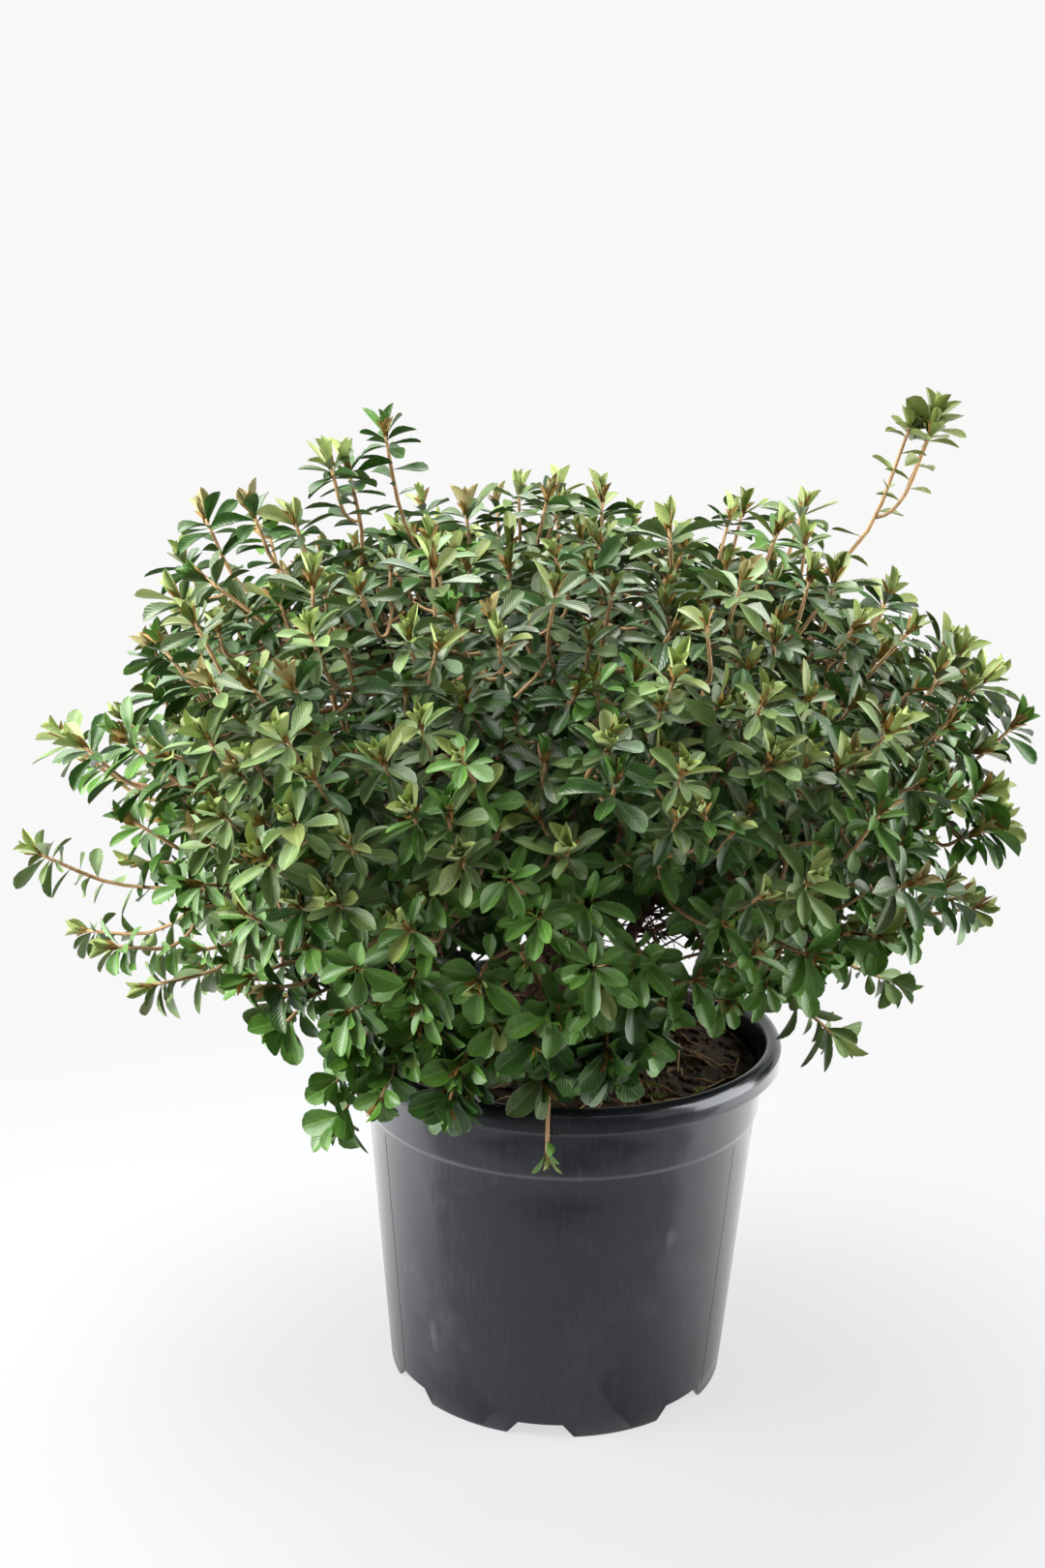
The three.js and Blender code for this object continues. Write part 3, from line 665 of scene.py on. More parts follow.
def tube_mesh(name, runs, rounding):
    """Tapering round rods, each a list of points and a list of radii, in one mesh."""
    curve = bpy.data.curves.new(name, "CURVE")
    curve.dimensions = "3D"
    curve.bevel_depth = 1.0
    curve.bevel_resolution = rounding
    curve.use_fill_caps = True
    for points, radii in runs:
        spline = curve.splines.new("POLY")
        spline.points.add(len(points) - 1)
        spline.points.foreach_set("co", [c for p in points for c in (*p, 1.0)])
        spline.points.foreach_set("radius", radii)
    made = bpy.data.objects.new(name, curve)
    bpy.context.collection.objects.link(made)
    pick(made)
    bpy.ops.object.convert(target="MESH")
    made = bpy.context.object
    bpy.ops.object.mode_set(mode="EDIT")
    bpy.ops.mesh.select_all(action="SELECT")
    bpy.ops.mesh.remove_doubles(threshold=1e-6)
    bpy.ops.mesh.normals_make_consistent(inside=False)
    bpy.ops.object.mode_set(mode="OBJECT")
    bpy.ops.object.shade_smooth()
    return made


def bark_finish(name, dark, light, red):
    """Bark in narrow upright strips of two tones, with redder patches."""
    finish = Finish(name)
    where = finish.places()
    strips = finish.cloud(finish.places((1, 1, 0.25)), 420, 5, 0.65)
    patches = finish.cloud(where, 60, 3, 0.6)
    tone = finish.blend(finish.ramp(strips, (0.30, 0), (0.72, 1)), dark, light)
    tone = finish.blend(patches * 0.7, tone, red)
    return finish.surface(Base_Color=tone, Roughness=0.82, Normal=finish.bump(strips, 0.0006, 0.8))


def limb_runs():
    """The trunk, rounded off at its top, and the boughs, which wander a little between their ends."""
    heights = np.linspace(0, TRUNK_HEIGHT, TRUNK_RINGS)
    rounded = [1] * (TRUNK_RINGS - 2) + [0.9, 0.55]
    radii = [trunk_radius(h) * share for h, share in zip(heights, rounded)]
    runs = [([trunk_axis(h) for h in heights], radii)]
    for bough in boughs:
        shares = np.linspace(0, 1, BOUGH_RINGS)
        points = [bezier(bough["control"], float(t)) for t in shares]
        wander = [noise.noise_vector(p * 22) * 0.0022 * math.sin(math.pi * t) for p, t in zip(points, shares)]
        radii = [BOUGH_FOOT_RADIUS + (BOUGH_TIP_RADIUS - BOUGH_FOOT_RADIUS) * t for t in shares]
        runs.append(([p + w for p, w in zip(points, wander)], radii))
    return runs


old_bark = bark_finish(
    "flaking bark", (0.040, 0.020, 0.012, 1), (0.155, 0.085, 0.052, 1), (0.115, 0.038, 0.018, 1))
limbs = tube_mesh("trunk_and_boughs", limb_runs(), 5)
for size, strength, label in ((0.012, 0.0024, "knots"), (0.0035, 0.0012, "flakes")):
    lumpy(limbs, size, strength, label)
for vertex in limbs.data.vertices:
    vertex.co.z = max(vertex.co.z, TRUNK_FOOT)
limbs.data.materials.append(old_bark)
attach(limbs, "root")
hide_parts("trunk", *[f"bough_{bough['name']}" for bough in boughs])

# ---------------------------------------------------------------- twigs
# From each bough's end the twigs part again and again to the shoots' tips, each from the nearest place grown.
# The young wood is tan and downy, and the last finger's length of a shoot is straight and turns up to light.

# kind of shoot: how many, how far its tip lies under the crown's surface, its spread, and its straight end
SHOOTS = {
    "outer": (570, 0.006, 0.028, 0.020),
    "inner": (430, 0.056, 0.045, 0.016),
    "deep": (170, 0.100, 0.060, 0.014),
}
RISING_SHARE = 0.30  # of the outer shoots, that stand out of the crown
RISING_REACH = (0.002, 0.020)
RISING_HEAD = 2.1
SHOOT_JITTER = 0.13
AXIS_JITTER = 0.7
CLUMP_DEPTH, CLUMP_SCALE = 0.030, 7.5
SWELL_HEIGHT, SWELL_SCALE = 0.010, 3.1
PLACED_SHORT = 0.013  # a placed shoot's young leaves stand this far past its tip
LOWEST_TIP_DEG = -57
GOLDEN_DEG = 137.508
PATH_WEIGHT = 0.35
ATTACH_AT = (0.42, 0.7)
ATTACH_LATE = 0.90
FORKS_LATE_OVER = 0.085
HEAD_MOST = 0.5  # of a twig's span, that its straight end may take
HEAD_BEND = 0.36
STEM_SHARES = (0, 0.25, 0.5, 0.75, 1)
STEM_RADII = [BOUGH_TIP_RADIUS, 0.0040, 0.0036, 0.0032, 0.0028]
TWIG_SHARES = (0, 0.2, 0.4, 0.6, 0.8, 1)
TWIG_KINK = 0.0014
SHOOT_RADIUS = 0.00125
HEAD_SWELL = 1.25
RADIUS_GROWTH = 0.35  # a twig's radius grows with this power of the number of shoots it feeds
HOLLOWS = [
    # azimuth, elevation, spread in degrees, depth: where the shoots stay back under the crown's surface
    (-47, -44, 13, 0.070), (90, -42, 34, 0.030), (180, -4, 14, 0.022), (188, -36, 18, 0.034),
    (5, -30, 14, 0.028),
]
PASSAGES = [
    # a place, the way through it, how wide, how far back: where the crown is open between two boughs
    (Vector((0.046, -0.296, 0.486)), Vector((0.084, 1.184, -0.382)).normalized(), 0.026, 0.30),
    (Vector((-0.110, -0.288, 0.442)), Vector((-0.072, 1.192, -0.426)).normalized(), 0.024, 0.02),
]
BARE_BELOW = 0.370  # no leafy shoots inside the crown under this height, which falls towards the back
BARE_FALL = 0.3
BARE_MIDDLE = 0.035
BARE_HALF_WIDTH = 0.115
TALL_SHOOTS = [
    # azimuth, elevation, reach
    (1, 46.2, 0.411), (1, 47.6, 0.394), (0, 45.6, 0.402),
]
LONG_SHOOTS = [
    (-170, 63, 0.316), (-163, 54, 0.321), (-168, 56, 0.309), (-162, 45, 0.307), (-169, 42, 0.330),
    (177, 36, 0.356), (174, 29, 0.356), (179, 17, 0.348), (-173, 6, 0.399), (174, 0, 0.395),
    (-160, 8, 0.386), (179, -7, 0.333), (-168, -6, 0.421), (176, -20, 0.432), (-162, -17, 0.386),
    (172, -31, 0.363), (-169, -26, 0.376), (191, -38, 0.311), (2, 15, 0.359), (-1, 9, 0.372),
    (-1, 20, 0.340), (-3, 16, 0.349), (11, 19, 0.345), (15, 28, 0.319), (-8, 2, 0.341),
    (-11, -3, 0.336), (-4, -15, 0.362), (10, -32, 0.366), (-11, -41, 0.319), (121, 72, 0.243),
    (92, 59, 0.263), (157, 68, 0.234), (73, 69, 0.218), (63, 57, 0.240), (20, 55, 0.269),
    (33, 41, 0.324), (96, -8, 0.318), (128, 22, 0.318), (60, 10, 0.330), (150, -10, 0.340),
    (110, 35, 0.290),
]
HANGING_SHOOTS = [
    (-92, -53, 0.320),
]
LOW_SHOOTS = [
    (-138, -43, 0.319), (-128, -45, 0.313), (-147, -34, 0.311), (-137, -47, 0.338), (-112, -44, 0.303),
    (-134, -40, 0.292), (-132, -46, 0.290), (-114, -45, 0.290), (-124, -43, 0.274), (-104, -41, 0.263),
    (-91, -41, 0.268), (-79, -40, 0.262), (-109, -45, 0.280), (-98, -44, 0.249), (-85, -43, 0.245),
    (-71, -41, 0.255), (-121, -37, 0.257), (-108, -36, 0.243), (-95, -36, 0.262), (-150, -50, 0.250),
    (-143, -44, 0.262), (-88, -57, 0.215), (-115, -56, 0.220), (-130, -56, 0.225), (-102, -50, 0.248),
    (-79, -51, 0.237), (-64, -46, 0.238), (-84, -47, 0.262), (-76, -47, 0.262), (-93, -48, 0.270),
]
FRONT_SHOOTS = [
    (-101, 32, 0.300), (-64, 23, 0.320), (-64, 16, 0.318), (-125, 16, 0.345), (-122, 7, 0.348),
    (-116, 5, 0.334), (-76, 15, 0.318), (-85, 18, 0.308), (-103, 4, 0.313), (-114, 15, 0.316),
    (-131, 11, 0.347), (-110, 20, 0.310), (-53, 14, 0.318), (-41, 17, 0.316), (-74, 28, 0.290),
    (-90, 5, 0.296), (-58, 0, 0.317), (-129, 29, 0.324), (-116, 32, 0.298), (-48, 45, 0.264),
    (-137, 2, 0.345), (-127, 22, 0.335), (-140, 20, 0.345), (-119, -3, 0.325), (-121, 12, 0.338),
    (-127, 2, 0.345), (-133, 6, 0.350), (-124, -4, 0.330), (-109, 9, 0.320), (-137, 14, 0.352),
]
PLACED_SHOOTS = (
    # kind, where their tips are, straight end, droop
    ("tall", TALL_SHOOTS, 0.060, 0.0), ("long", LONG_SHOOTS, 0.034, 0.0),
    ("front", FRONT_SHOOTS, 0.040, 0.0), ("hanging", HANGING_SHOOTS, 0.016, 0.55),
    ("low", LOW_SHOOTS, 0.016, 0.20),
)


def hollow(d):
    """How far the shoots stay back in a direction from the crown's centre."""
    return sum(
        depth * math.exp(-((math.degrees(d.angle(direction(azimuth, elevation))) / spread) ** 2))
        for azimuth, elevation, spread, depth in HOLLOWS)


def kept_bare(kind, place):
    """Whether a leafy shoot of this kind would fill a passage or the bare inside of the crown."""
    inside = kind != "outer" and abs(place.x - BARE_MIDDLE) < BARE_HALF_WIDTH
    if inside and place.z < BARE_BELOW - BARE_FALL * place.y:
        return True
    for middle, heading, width, back in PASSAGES:
        to_place = place - middle
        along = to_place.dot(heading)
        if along < back and (to_place - heading * along).length < width:
            return True
    return False


def shoot_axis(d):
    """Which way a shoot points at a place on the crown: out of it, and up to the light."""
    out = Vector((d.x / CROWN_HALF_WIDTH, d.y / CROWN_HALF_DEPTH, d.z / CROWN_UP)).normalized()
    lift = 0.75 if d.z > 0 else 0.75 + 0.6 * d.z
    return (out + Vector((0, 0, lift))).normalized()


def shoot_tips():
    """The shoots' ends: first even ones on spirals over the crown and under its surface, then placed ones."""
    draw = seeded(11)
    lowest = math.sin(math.radians(LOWEST_TIP_DEG))
    tips = []
    for kind, (count, near, spread, head) in SHOOTS.items():
        for i in range(count):
            z = 1 - (i + 0.5) / count * (1 - lowest)
            d = direction(i * GOLDEN_DEG, math.degrees(math.asin(z)))
            d = Vector((d.x * CROWN_HALF_WIDTH, d.y * CROWN_HALF_DEPTH, d.z * CROWN_UP)).normalized()
            jitter = Vector((draw() - 0.5, draw() - 0.5, draw() - 0.5))
            d = (d + jitter * SHOOT_JITTER).normalized()
            sunk = (near + spread * draw() + CLUMP_DEPTH * abs(noise.noise(d * CLUMP_SCALE))
                    - SWELL_HEIGHT * noise.noise(d * SWELL_SCALE) + hollow(d))
            rising = kind == "outer" and draw() < RISING_SHARE and d.z > -0.25
            if rising:
                sunk = hollow(d) - (RISING_REACH[0] + (RISING_REACH[1] - RISING_REACH[0]) * draw())
            axis = (shoot_axis(d) + jitter * AXIS_JITTER).normalized()
            at = CROWN_CENTRE + d * (crown_reach(d) - sunk)
            if kept_bare(kind, at):
                continue
            tips.append({"at": at, "axis": axis, "out": d, "kind": "rising" if rising else kind,
                         "head": head * (RISING_HEAD if rising else 1)})
    for kind, rows, head, droop in PLACED_SHOOTS:
        for azimuth, elevation, reach in rows:
            d = direction(azimuth, elevation)
            axis = (shoot_axis(d) - Vector((0, 0, droop))).normalized()
            at = CROWN_CENTRE + d * reach - axis * PLACED_SHORT
            tips.append({"at": at, "axis": axis, "out": d, "kind": kind, "head": head})
    return tips


def grow_twigs(bough, tips):
    """Twigs from a bough's end to every tip. Each leaves the place that costs least, and ends straight."""
    stem = [bezier(bough["control"], 1.0), bough["hub"]]
    places = [{"at": stem[0].lerp(stem[1], share), "path": BOUGH_STOP * share, "from": None}
              for share in (0.5, 0.75, 1.0)]
    twigs = []
    for tip in sorted(tips, key=lambda tip: (tip["at"] - bough["hub"]).length):

        def cost(place):
            run = tip["at"] - place["at"]
            return 2 * run.length - run.dot(tip["out"]) + PATH_WEIGHT * place["path"]

        start = min(places, key=cost)
        span = (tip["at"] - start["at"]).length
        head = tip["at"] - tip["axis"] * min(tip["head"], span * HEAD_MOST)
        control = [start["at"], head - tip["axis"] * HEAD_BEND * span, head]
        twig = {"control": control, "tip": tip, "parent": start["from"], "feeds": 1, "span": span}
        above = twig["parent"]
        while above is not None:
            above["feeds"] += 1
            above = above["parent"]
        twigs.append(twig)
        for share in ATTACH_AT + ((ATTACH_LATE,) if span > FORKS_LATE_OVER else ()):
            places.append({"at": bezier(control, share), "path": start["path"] + share * span, "from": twig})
    return twigs


tips_by_mass = [[] for _ in boughs]
for tip in shoot_tips():
    distances = [(bough["hub"] - tip["at"]).length for bough in boughs]
    tips_by_mass[distances.index(min(distances))].append(tip)
twigs_by_mass = [grow_twigs(bough, tips) for bough, tips in zip(boughs, tips_by_mass)]


def twig_runs():
    """Each mass's stem and its twigs, thicker the more shoots they feed. A twig keeps its points for leaves."""
    runs = []
    for bough, twigs in zip(boughs, twigs_by_mass):
        start = bezier(bough["control"], 0.985)
        runs.append(([start.lerp(bough["hub"], s) for s in STEM_SHARES], STEM_RADII))
        for twig in twigs:
            thick = SHOOT_RADIUS * twig["feeds"] ** RADIUS_GROWTH
            points = [bezier(twig["control"], s) for s in TWIG_SHARES]
            kinks = [noise.noise_vector(p * 60) * TWIG_KINK * math.sin(math.pi * s)
                     for p, s in zip(points, TWIG_SHARES)]
            points = [p + kink for p, kink in zip(points, kinks)] + [twig["tip"]["at"]]
            radii = [thick + (SHOOT_RADIUS * HEAD_SWELL - thick) * s for s in TWIG_SHARES] + [SHOOT_RADIUS]
            runs.append((points, radii))
            twig["points"] = points
    return runs


young_bark = bark_finish(
    "tan young wood", (0.185, 0.110, 0.045, 1), (0.440, 0.310, 0.155, 1), (0.320, 0.165, 0.060, 1))
twig_piece = tube_mesh("twigs", twig_runs(), 1)
twig_piece.data.materials.append(young_bark)
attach(twig_piece, "root")

# ---------------------------------------------------------------- bare twigs inside
# Under the leaves the boughs keep thin dead twigs that fork once or twice and have lost their leaves.
# Their bark is red-brown, and darker than the young wood.

BARE_TWIGS = 230
BARE_TWIG_RADIUS = 0.0012
BARE_TWIG_LENGTHS = (0.045, 0.060)  # the shortest, and more by chance
BARE_TWIG_TAPER = (1, 0.9, 0.8, 0.7, 0.55)
BARE_FORK_TAPER = 0.68
BARE_FINEST = 0.55  # of the first radius, under which a twig forks no more
BARE_REACH = 0.25  # from the crown's middle
BARE_OVER_SOIL = 0.012


def bare_twig_runs():
    """Twigs that leave the boughs anywhere, bend a little and fork, where there is room over the compost."""
    draw = seeded(77)
    runs = []
    for _ in range(BARE_TWIGS):
        bough = boughs[int(draw() * len(boughs))]
        start = bezier(bough["control"], 0.30 + 0.65 * draw())
        flat = Vector((start.x, start.y, 0)).normalized()
        aside = Vector((draw() - 0.5, draw() - 0.5, draw() - 0.35)) * 1.6
        heading = (flat * 0.8 + aside).normalized()
        length = BARE_TWIG_LENGTHS[0] + BARE_TWIG_LENGTHS[1] * draw()
        forks = [(start, heading, length, BARE_TWIG_RADIUS)]
        while forks:
            foot, along, reach, radius = forks.pop()
            bend = Vector((draw() - 0.5, draw() - 0.5, draw() - 0.2)) * 0.5
            points = [foot + along * reach * s + bend * reach * s * s for s in STEM_SHARES]
            points[0] = points[0] + noise.noise_vector(points[0] * 90) * 0.0012
            low = min(p.z for p in points)
            if low < SOIL_HEIGHT + BARE_OVER_SOIL or (points[-1] - CROWN_CENTRE).length > BARE_REACH:
                continue
            runs.append((points, [radius * share for share in BARE_TWIG_TAPER]))
            if radius > BARE_TWIG_RADIUS * BARE_FINEST:
                for place in (points[2], points[3]):
                    turned = (along + Vector((draw() - 0.5, draw() - 0.5, draw() - 0.5)) * 1.7).normalized()
                    forks.append((place, turned, reach * (0.40 + 0.25 * draw()), radius * BARE_FORK_TAPER))
    return runs


dead_bark = bark_finish(
    "bare red-brown twigs", (0.030, 0.014, 0.008, 1), (0.130, 0.066, 0.038, 1), (0.110, 0.036, 0.016, 1))
bare_twigs = tube_mesh("bare_twigs", bare_twig_runs(), 1)
bare_twigs.data.materials.append(dead_bark)
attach(bare_twigs, "root")

# ---------------------------------------------------------------- leaves
# Small leathery leaves, widest past the middle, blunt, a little folded along the midrib and bent at the tip.
# They ring each shoot's end and stand down its length, round narrow young ones and rusty bud scales.

LEAF_LENGTH = 0.0310
LEAF_WIDTH = 0.0122
YOUNG_WIDTH = 0.0098
SCALE_WIDTH = 0.0029
RING_SPACING = 0.0011
LOWER_SPACING = 0.0068
DARK_SHARE = 0.30  # of the grey shoots' leaves, that are deep green
LIGHT_SHARES = {"long": 0.50, "front": 0.75}  # of the kinds of shoot, that are light green
# of the kinds of shoot, that have yellow young leaves
BRIGHT_SHARES = {"tall": 0.0, "long": 0.60, "front": 0.84, "rising": 0.46, "hanging": 0.20}
SKIRT_TOP, TOP_FOOT, TIER_FADE = 0.52, 0.47, 0.16  # heights at which the skirt's and the top's habits set in
BLADE_ROWS = [
    # share of the length, half the width there
    (0.0, 0.04), (0.08, 0.07), (0.26, 0.25), (0.46, 0.42), (0.66, 0.50), (0.83, 0.44), (0.95, 0.24),
    (1.0, 0.02),
]
YOUNG_ROWS = [(0.0, 0.08), (0.20, 0.24), (0.45, 0.44), (0.70, 0.42), (0.88, 0.24), (1.0, 0.01)]
SCALE_ROWS = [(0.0, 0.30), (0.35, 0.50), (0.75, 0.34), (1.0, 0.03)]


def blade_template(name, rows, across, arch, cup, twist):
    """A blade one unit long along X and one wide along Y, from a grid shaped row by row."""
    clear_selection()
    steps = len(rows) - 1
    bpy.ops.mesh.primitive_grid_add(x_subdivisions=steps, y_subdivisions=across, size=1, calc_uvs=True)
    made = bpy.context.object
    made.name = name
    uvs = {}
    for vertex in made.data.vertices:
        t, half_width = rows[round((vertex.co.x + 0.5) * steps)]
        off = vertex.co.y * 2
        side = off * half_width
        uvs[vertex.index] = (t, 0.5 + 0.5 * off)
        lift = cup * abs(off) ** 1.3 * half_width - arch * t * t + twist * t * side
        vertex.co = (t * (1 - 0.12 * arch), side, lift)
    for loop in made.data.loops:
        made.data.uv_layers[0].data[loop.index].uv = uvs[loop.vertex_index]
    return made


def leaf_finish(name, face, shade, rib, stalk, stalk_end, gloss, down):
    """Mottled blade, pale midrib and margin, fine side veins, and a stalk of its own colour."""
    finish = Finish(name)
    where = finish.places()
    uv = finish.node("ShaderNodeUVMap", {"uv_map": "blade"}, {})
    along = finish.along(uv, "X")
    off_rib = abs(finish.along(uv, "Y") - 0.5)
    midrib = finish.ramp(off_rib, (0.015, 1), (0.055, 0))
    margin = finish.ramp(off_rib, (0.445, 0), (0.495, 1))
    at_stalk = finish.ramp(along, (stalk_end * 0.4, 1), (stalk_end, 0))
    veins = finish.node("ShaderNodeMath", {"operation": "SINE"}, {0: along * 58 - off_rib * 46})
    mottle = finish.cloud(where, 130, 3, 0.6)
    spray = finish.ramp(finish.cloud(where, 16, 2, 0.5), (0.30, 0.78), (0.70, 1.16))
    tone = finish.blend(finish.ramp(mottle, (0.30, 0), (0.72, 1)), face, shade)
    tone = finish.blend(1.0, tone, spray, "MULTIPLY")
    tone = finish.blend(midrib * 0.50 + margin * 0.30, tone, rib)
    tone = finish.blend(at_stalk, tone, stalk)
    relief = finish.bump(veins * 0.30 + off_rib * 2.4 + mottle * 0.7, 0.00035, 0.5)
    return finish.surface(
        Base_Color=tone, Roughness=gloss + mottle * 0.16, Normal=relief, Specular_IOR_Level=0.40,
        Sheen_Weight=down, Sheen_Roughness=0.45)


RUSTY = (0.260, 0.140, 0.036, 1)
GREEN_STALK = (0.140, 0.150, 0.035, 1)
LEAF_TONES = [
    # name, face, shade, midrib, stalk, where the stalk's colour ends, roughness, how downy
    # The deep green tone is partly a real leaf colour and partly painted shade: the inner and deep shoots take
    # it so that the crown's inside reads dark.
    ("deep green leaf and painted inner shade", (0.012, 0.049, 0.003, 1), (0.027, 0.086, 0.008, 1),
     (0.120, 0.190, 0.050, 1), GREEN_STALK, 0.10, 0.26, 0.05),
    ("grey green leaf", (0.034, 0.070, 0.010, 1), (0.066, 0.110, 0.024, 1),
     (0.170, 0.225, 0.090, 1), RUSTY, 0.10, 0.24, 0.08),
    ("fresh green leaf", (0.044, 0.124, 0.010, 1), (0.078, 0.182, 0.024, 1),
     (0.170, 0.290, 0.080, 1), GREEN_STALK, 0.10, 0.26, 0.05),
    ("olive leaf", (0.100, 0.140, 0.020, 1), (0.150, 0.190, 0.038, 1),
     (0.250, 0.280, 0.080, 1), RUSTY, 0.18, 0.34, 0.10),
    ("young yellow leaf", (0.250, 0.330, 0.080, 1), (0.350, 0.430, 0.140, 1),
     (0.460, 0.520, 0.200, 1), RUSTY, 0.16, 0.42, 0.15),
    ("flushed young leaf", (0.260, 0.215, 0.075, 1), (0.350, 0.300, 0.120, 1),
     (0.440, 0.340, 0.150, 1), RUSTY, 0.26, 0.42, 0.15),
    ("light green leaf", (0.078, 0.142, 0.028, 1), (0.130, 0.205, 0.052, 1),
     (0.250, 0.330, 0.130, 1), RUSTY, 0.10, 0.34, 0.12),
    ("bud scale", (0.270, 0.150, 0.036, 1), (0.350, 0.210, 0.060, 1),
     (0.400, 0.270, 0.090, 1), RUSTY, 0.40, 0.50, 0.0),
]
DEEP_GREEN_AND_SHADE, GREY, FRESH, OLIVE, YELLOW, FLUSHED, LIGHT, SCALE = range(8)
leaf_materials = [leaf_finish(*tones) for tones in LEAF_TONES]
blades = {
    "arched": blade_template("blade_arched", BLADE_ROWS, 4, 0.12, 0.20, 0.0),
    "flat": blade_template("blade_flat", BLADE_ROWS, 4, 0.02, 0.14, 0.25),
    "curled": blade_template("blade_curled", BLADE_ROWS, 4, 0.22, 0.30, -0.2),
    "plain": blade_template("blade_plain", BLADE_ROWS, 2, 0.12, 0.20, 0.0),
    "upright": blade_template("blade_upright", YOUNG_ROWS, 2, -0.08, 0.50, 0.0),
    "scale": blade_template("blade_scale", SCALE_ROWS, 2, -0.10, 0.50, 0.0),
}
GROWN = ("arched", "flat", "curled")


def leaf_matrix(foot, along, face, length, width):
    """Puts a blade's foot at a place, its length along one direction and its upper side towards another."""
    side = face.cross(along).normalized()
    up = along.cross(side).normalized()
    turn = Matrix((along, side, up)).transposed().to_4x4()
    return Matrix.Translation(foot) @ turn @ Matrix.Diagonal((length, width, length, 1))


def has_room(matrix):
    """Whether a leaf's foot, middle and tip are clear of the pot and above the compost."""
    for share in (0.1, 0.5, 1.0):
        point = matrix @ Vector((share, 0, 0))
        radius = point.xy.length
        if radius > RIM_RADIUS + 0.002 or point.z > POT_HEIGHT + 0.002:
            continue
        if radius < NECK_RADIUS - 0.006 and point.z > soil_level(radius) + 0.003:
            continue
        return False
    return True


def along_twig(points, back):
    """The point and direction at a distance back from a twig's tip."""
    for k in range(len(points) - 1, 0, -1):
        step = points[k - 1] - points[k]
        if back <= step.length or k == 1:
            return points[k] + step.normalized() * min(back, step.length), -step.normalized()
        back -= step.length


def shoot_habit(tip, draw):
    """How one shoot is leaved: its colours, its young leaves, its ring, and the leaves down its length."""
    kind, height = tip["kind"], tip["at"].z
    high = max(0.0, min(1.0, (height - TOP_FOOT) / TIER_FADE))  # 0 in the skirt, 1 in the top
    luck = draw()
    if kind in ("inner", "deep"):
        # Inner and deep shoots are mostly deep green, which here is painted shade inside the crown.
        grown = FRESH if luck < 0.40 * (1 - high) else DEEP_GREEN_AND_SHADE
        return {"grown": grown, "young": FRESH if luck < 0.6 else grown, "youngs": 2, "scales": 2,
                "bare": 0.002, "ring": 8 if kind == "inner" else 7, "vigour": 0.94, "gap": 0.004,
                "spacing": LOWER_SPACING, "down": 0.045 if kind == "inner" else 0.024, "broad": 1.0,
                "blades": ("plain",)}
    grown = GREY if luck < 0.08 + 0.68 * high else FRESH if draw() < 0.76 - 0.36 * high else DEEP_GREEN_AND_SHADE
    if draw() < LIGHT_SHARES.get(kind, 0):
        grown = LIGHT
    luck = draw()
    bright = BRIGHT_SHARES.get(kind, 0.08 + 0.20 * high)
    young = (YELLOW if luck < bright else FLUSHED if luck < bright * 1.25
             else OLIVE if luck < 0.30 + 0.60 * high else FRESH)
    habit = {"grown": grown, "young": young, "youngs": 4, "scales": 6, "bare": 0.002,
             "ring": 7 + round(3 * high), "gap": 0.010, "vigour": 1.0, "broad": 1.0,
             "spacing": LOWER_SPACING * (1 + 0.7 * high), "down": 0.046, "blades": GROWN}
    if kind == "outer" and draw() < 0.34 * (1 - high):
        habit.update(grown=FRESH, young=FRESH, ring=5, gap=0.004, vigour=0.60, spacing=0.0050, down=0.034)
    elif kind == "rising":
        habit.update(youngs=5, bare=0.003 + 0.006 * draw(), ring=8, gap=0.006 + 0.016 * draw(), down=0.060)
    elif kind == "tall":
        habit.update(grown=OLIVE, young=OLIVE, youngs=8, ring=6, gap=0.012, down=0.170, spacing=0.0170,
                     vigour=0.95)
    elif kind in ("long", "front"):
        habit.update(youngs=6, bare=0.004, ring=9, gap=0.006, down=0.150, spacing=0.0068, vigour=1.02)
    elif kind == "hanging":
        habit.update(grown=FRESH, young=YELLOW, youngs=3, ring=3, gap=0.006, down=0.016, vigour=0.70,
                     broad=0.9)
    elif kind == "low":
        habit.update(young=FRESH, youngs=3, ring=7, gap=0.005, down=0.040, vigour=1.06, broad=1.16)
    return habit


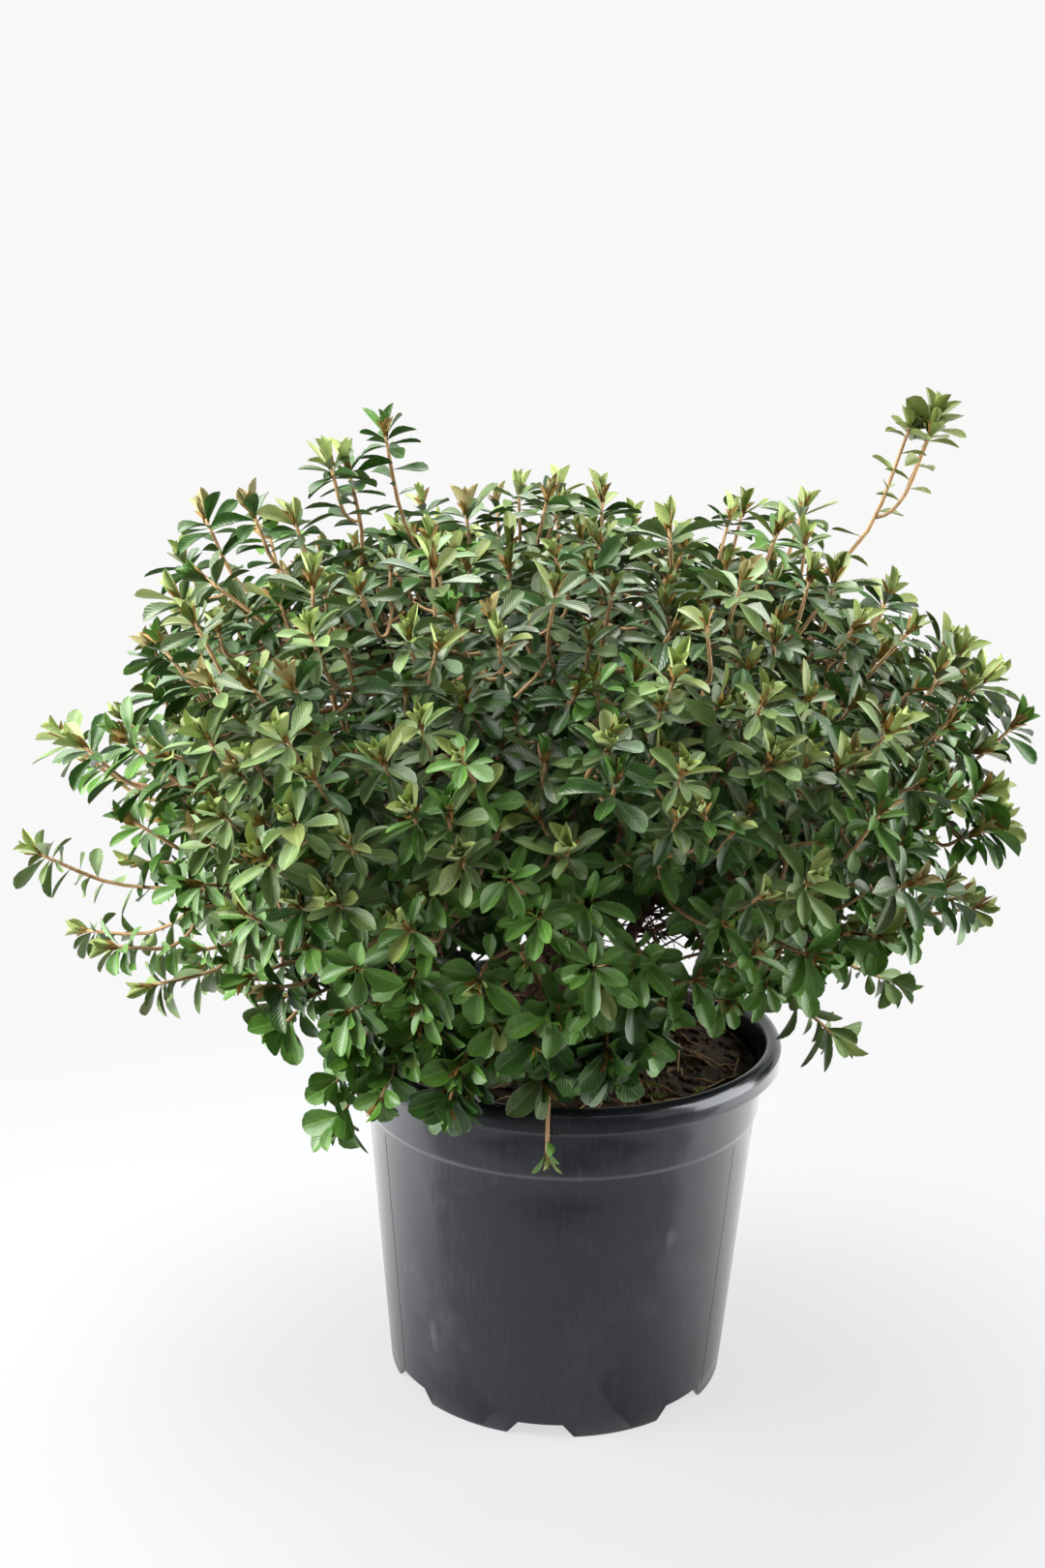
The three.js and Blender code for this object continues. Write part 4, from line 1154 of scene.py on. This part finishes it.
def shoot_leaves(twig, draw):
    """Matrices, shapes and colours of the leaves of one shoot, from its tip down."""
    tip = twig["tip"]
    axis = tip["axis"]
    across = Vector((axis.z, 0.3, -axis.x)).cross(axis).normalized()
    turn = 360 * draw()
    habit = shoot_habit(tip, draw)
    vigour = habit["vigour"] * (0.86 + 0.28 * draw())
    low = max(0.0, min(1.0, (SKIRT_TOP - tip["at"].z) / TIER_FADE))
    hang = 0.04 + 0.60 * low
    broad = (0.90 + 0.34 * low) * habit["broad"]
    turned = 0.6 + 1.1 * tip["out"].x ** 2
    leaves = []

    def add(j, back, spread_deg, length, width, shape, colour, droop, face_up):
        point, heading = along_twig(twig["points"], max(back, 0))
        outward = Matrix.Rotation(math.radians(turn + GOLDEN_DEG * j), 3, axis) @ across
        spread = math.radians(spread_deg)
        along = (heading * math.cos(spread) + outward * math.sin(spread) - Vector((0, 0, droop))).normalized()
        wobble = Vector((draw() - 0.5, draw() - 0.5, draw() - 0.5)) * turned
        face = heading * 0.9 - outward * 0.1 if face_up else -outward
        face = face + Vector((0, 0, 0.45 if face_up else 0)) + wobble
        matrix = leaf_matrix(point, along, face, length * vigour, width * vigour)
        if has_room(matrix):
            leaves.append((matrix, colour, shape))

    def pick_blade():
        return habit["blades"][int(len(habit["blades"]) * draw())]

    j = 0
    for k in range(habit["youngs"]):
        size = 0.40 + 0.075 * k + 0.12 * draw()
        add(j, 0.0003 * k, 3 + 6 * k + 7 * draw(), LEAF_LENGTH * size, YOUNG_WIDTH * size, "upright",
            habit["young"], 0, False)
        j += 1
    for k in range(habit["scales"]):
        add(j, 0.0010 + 0.0007 * k, 8 + 34 * draw(), 0.0100 + 0.0085 * draw(), SCALE_WIDTH, "scale", SCALE,
            0, False)
        j += 1
    back = habit["bare"]
    for k in range(habit["ring"]):
        size = 0.68 + 0.46 * draw()
        colour = OLIVE if k == 0 and habit["young"] in (OLIVE, YELLOW) else habit["grown"]
        if colour == GREY and draw() < DARK_SHARE:
            colour = DEEP_GREEN_AND_SHADE
        add(j, back, 44 + 6.0 * k + 14 * draw(), LEAF_LENGTH * size,
            LEAF_WIDTH * broad * size * (0.84 + 0.30 * draw()), pick_blade(), colour,
            hang * (0.7 + 0.5 * draw()), True)
        back += RING_SPACING
        j += 1
    back += habit["gap"]
    while back < min(twig["span"] * 0.90, habit["down"]):
        size = 0.62 + 0.42 * draw()
        colour = DEEP_GREEN_AND_SHADE if habit["grown"] == GREY and draw() < DARK_SHARE else habit["grown"]
        add(j, back, 60 + 34 * draw(), LEAF_LENGTH * size, LEAF_WIDTH * broad * size, pick_blade(),
            colour, hang * (0.8 + 0.6 * draw()), True)
        back += habit["spacing"] * (0.6 + 0.8 * draw())
        j += 1
    return leaves


LEAF_PIECES = {
    "leaves_skirt_right": ["skirt_1", "skirt_2"],
    "leaves_skirt_back": ["skirt_3"],
    "leaves_skirt_left": ["skirt_4", "skirt_5"],
    "leaves_skirt_front": ["skirt_6", "skirt_7"],
    "leaves_shoulder_right": ["shoulder_1", "shoulder_2"],
    "leaves_shoulder_left": ["shoulder_3", "shoulder_4"],
    "leaves_shoulder_front": ["shoulder_5"],
    "leaves_top": ["top_1", "top_2", "top_3"],
}
leaf_draw = seeded(2024)
leaves_by_mass = {
    bough["name"]: [leaf for twig in twigs for leaf in shoot_leaves(twig, leaf_draw)]
    for bough, twigs in zip(boughs, twigs_by_mass)
}
for name, masses in LEAF_PIECES.items():
    parts = []
    for shape, blade in blades.items():
        chosen = [leaf for mass in masses for leaf in leaves_by_mass[mass] if leaf[2] == shape]
        if chosen:
            parts.append(copies(f"{name}_{shape}", blade, [leaf[0] for leaf in chosen], leaf_materials,
                                [leaf[1] for leaf in chosen]))
    piece = join(parts[0], parts[1:])
    piece.name = name
    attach(piece, "root")
    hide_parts(*[f"foliage_{mass}" for mass in masses])

# ---------------------------------------------------------------- litter on the compost
# Brown fallen leaves of the shrub's own, some still greenish, with bits of dead twig between them.
# They lie on the bed as it rises and falls, and the twigs stay clear of the pot's wall.

FALLEN_LEAF_LENGTHS = (0.016, 0.014)  # the shortest, and more by chance
FALLEN_LEAF_WIDTH = 0.42  # of its length
FALLEN_TWIG_SHARES = (-1, -0.3, 0.4, 1)
FALLEN_TWIG_RADII = [0.0005, 0.0007, 0.0007, 0.0004]

litter_draw = seeded(33)
leaf_litter = []
for matrix in scattered(litter_draw, FALLEN_LEAVES, 0.010, 0.026, 0.5, 0.10):
    place = matrix.translation
    turn = matrix.to_3x3().col[0].normalized()
    tilt = Vector((0.5 * (litter_draw() - 0.5), 0.5 * (litter_draw() - 0.5), 1))
    length = FALLEN_LEAF_LENGTHS[0] + FALLEN_LEAF_LENGTHS[1] * litter_draw()
    foot = place + Vector((0, 0, 0.001))
    leaf_litter.append(leaf_matrix(foot, turn, tilt, length, length * FALLEN_LEAF_WIDTH))
litter_kinds = [0 if litter_draw() < 0.45 else 1 if litter_draw() < 0.6 else 2 for _ in leaf_litter]
litter_materials = [straw, bark_crumb, leaf_materials[OLIVE]]
litter = copies("fallen_leaves", blades["curled"], leaf_litter, litter_materials, litter_kinds)
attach(litter, "root")

dead_runs = []
for matrix in scattered(litter_draw, FALLEN_TWIGS, 0.010, 0.034, 1.0, 0.08):
    middle = matrix.translation
    turn = matrix.to_3x3().col[0].normalized()
    half = matrix.to_3x3().col[1].length
    ends = [middle + turn * half * s + Vector((0, 0, 0.002 * (1 - s * s))) for s in FALLEN_TWIG_SHARES]
    if all(end.xy.length < SOIL_RADIUS - 0.004 for end in ends):
        dead_runs.append((ends, FALLEN_TWIG_RADII))
dead_twigs = tube_mesh("fallen_twigs", dead_runs, 1)
dead_twigs.data.materials.append(young_bark)
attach(dead_twigs, "root")

for blade in blades.values():
    bpy.data.objects.remove(blade)
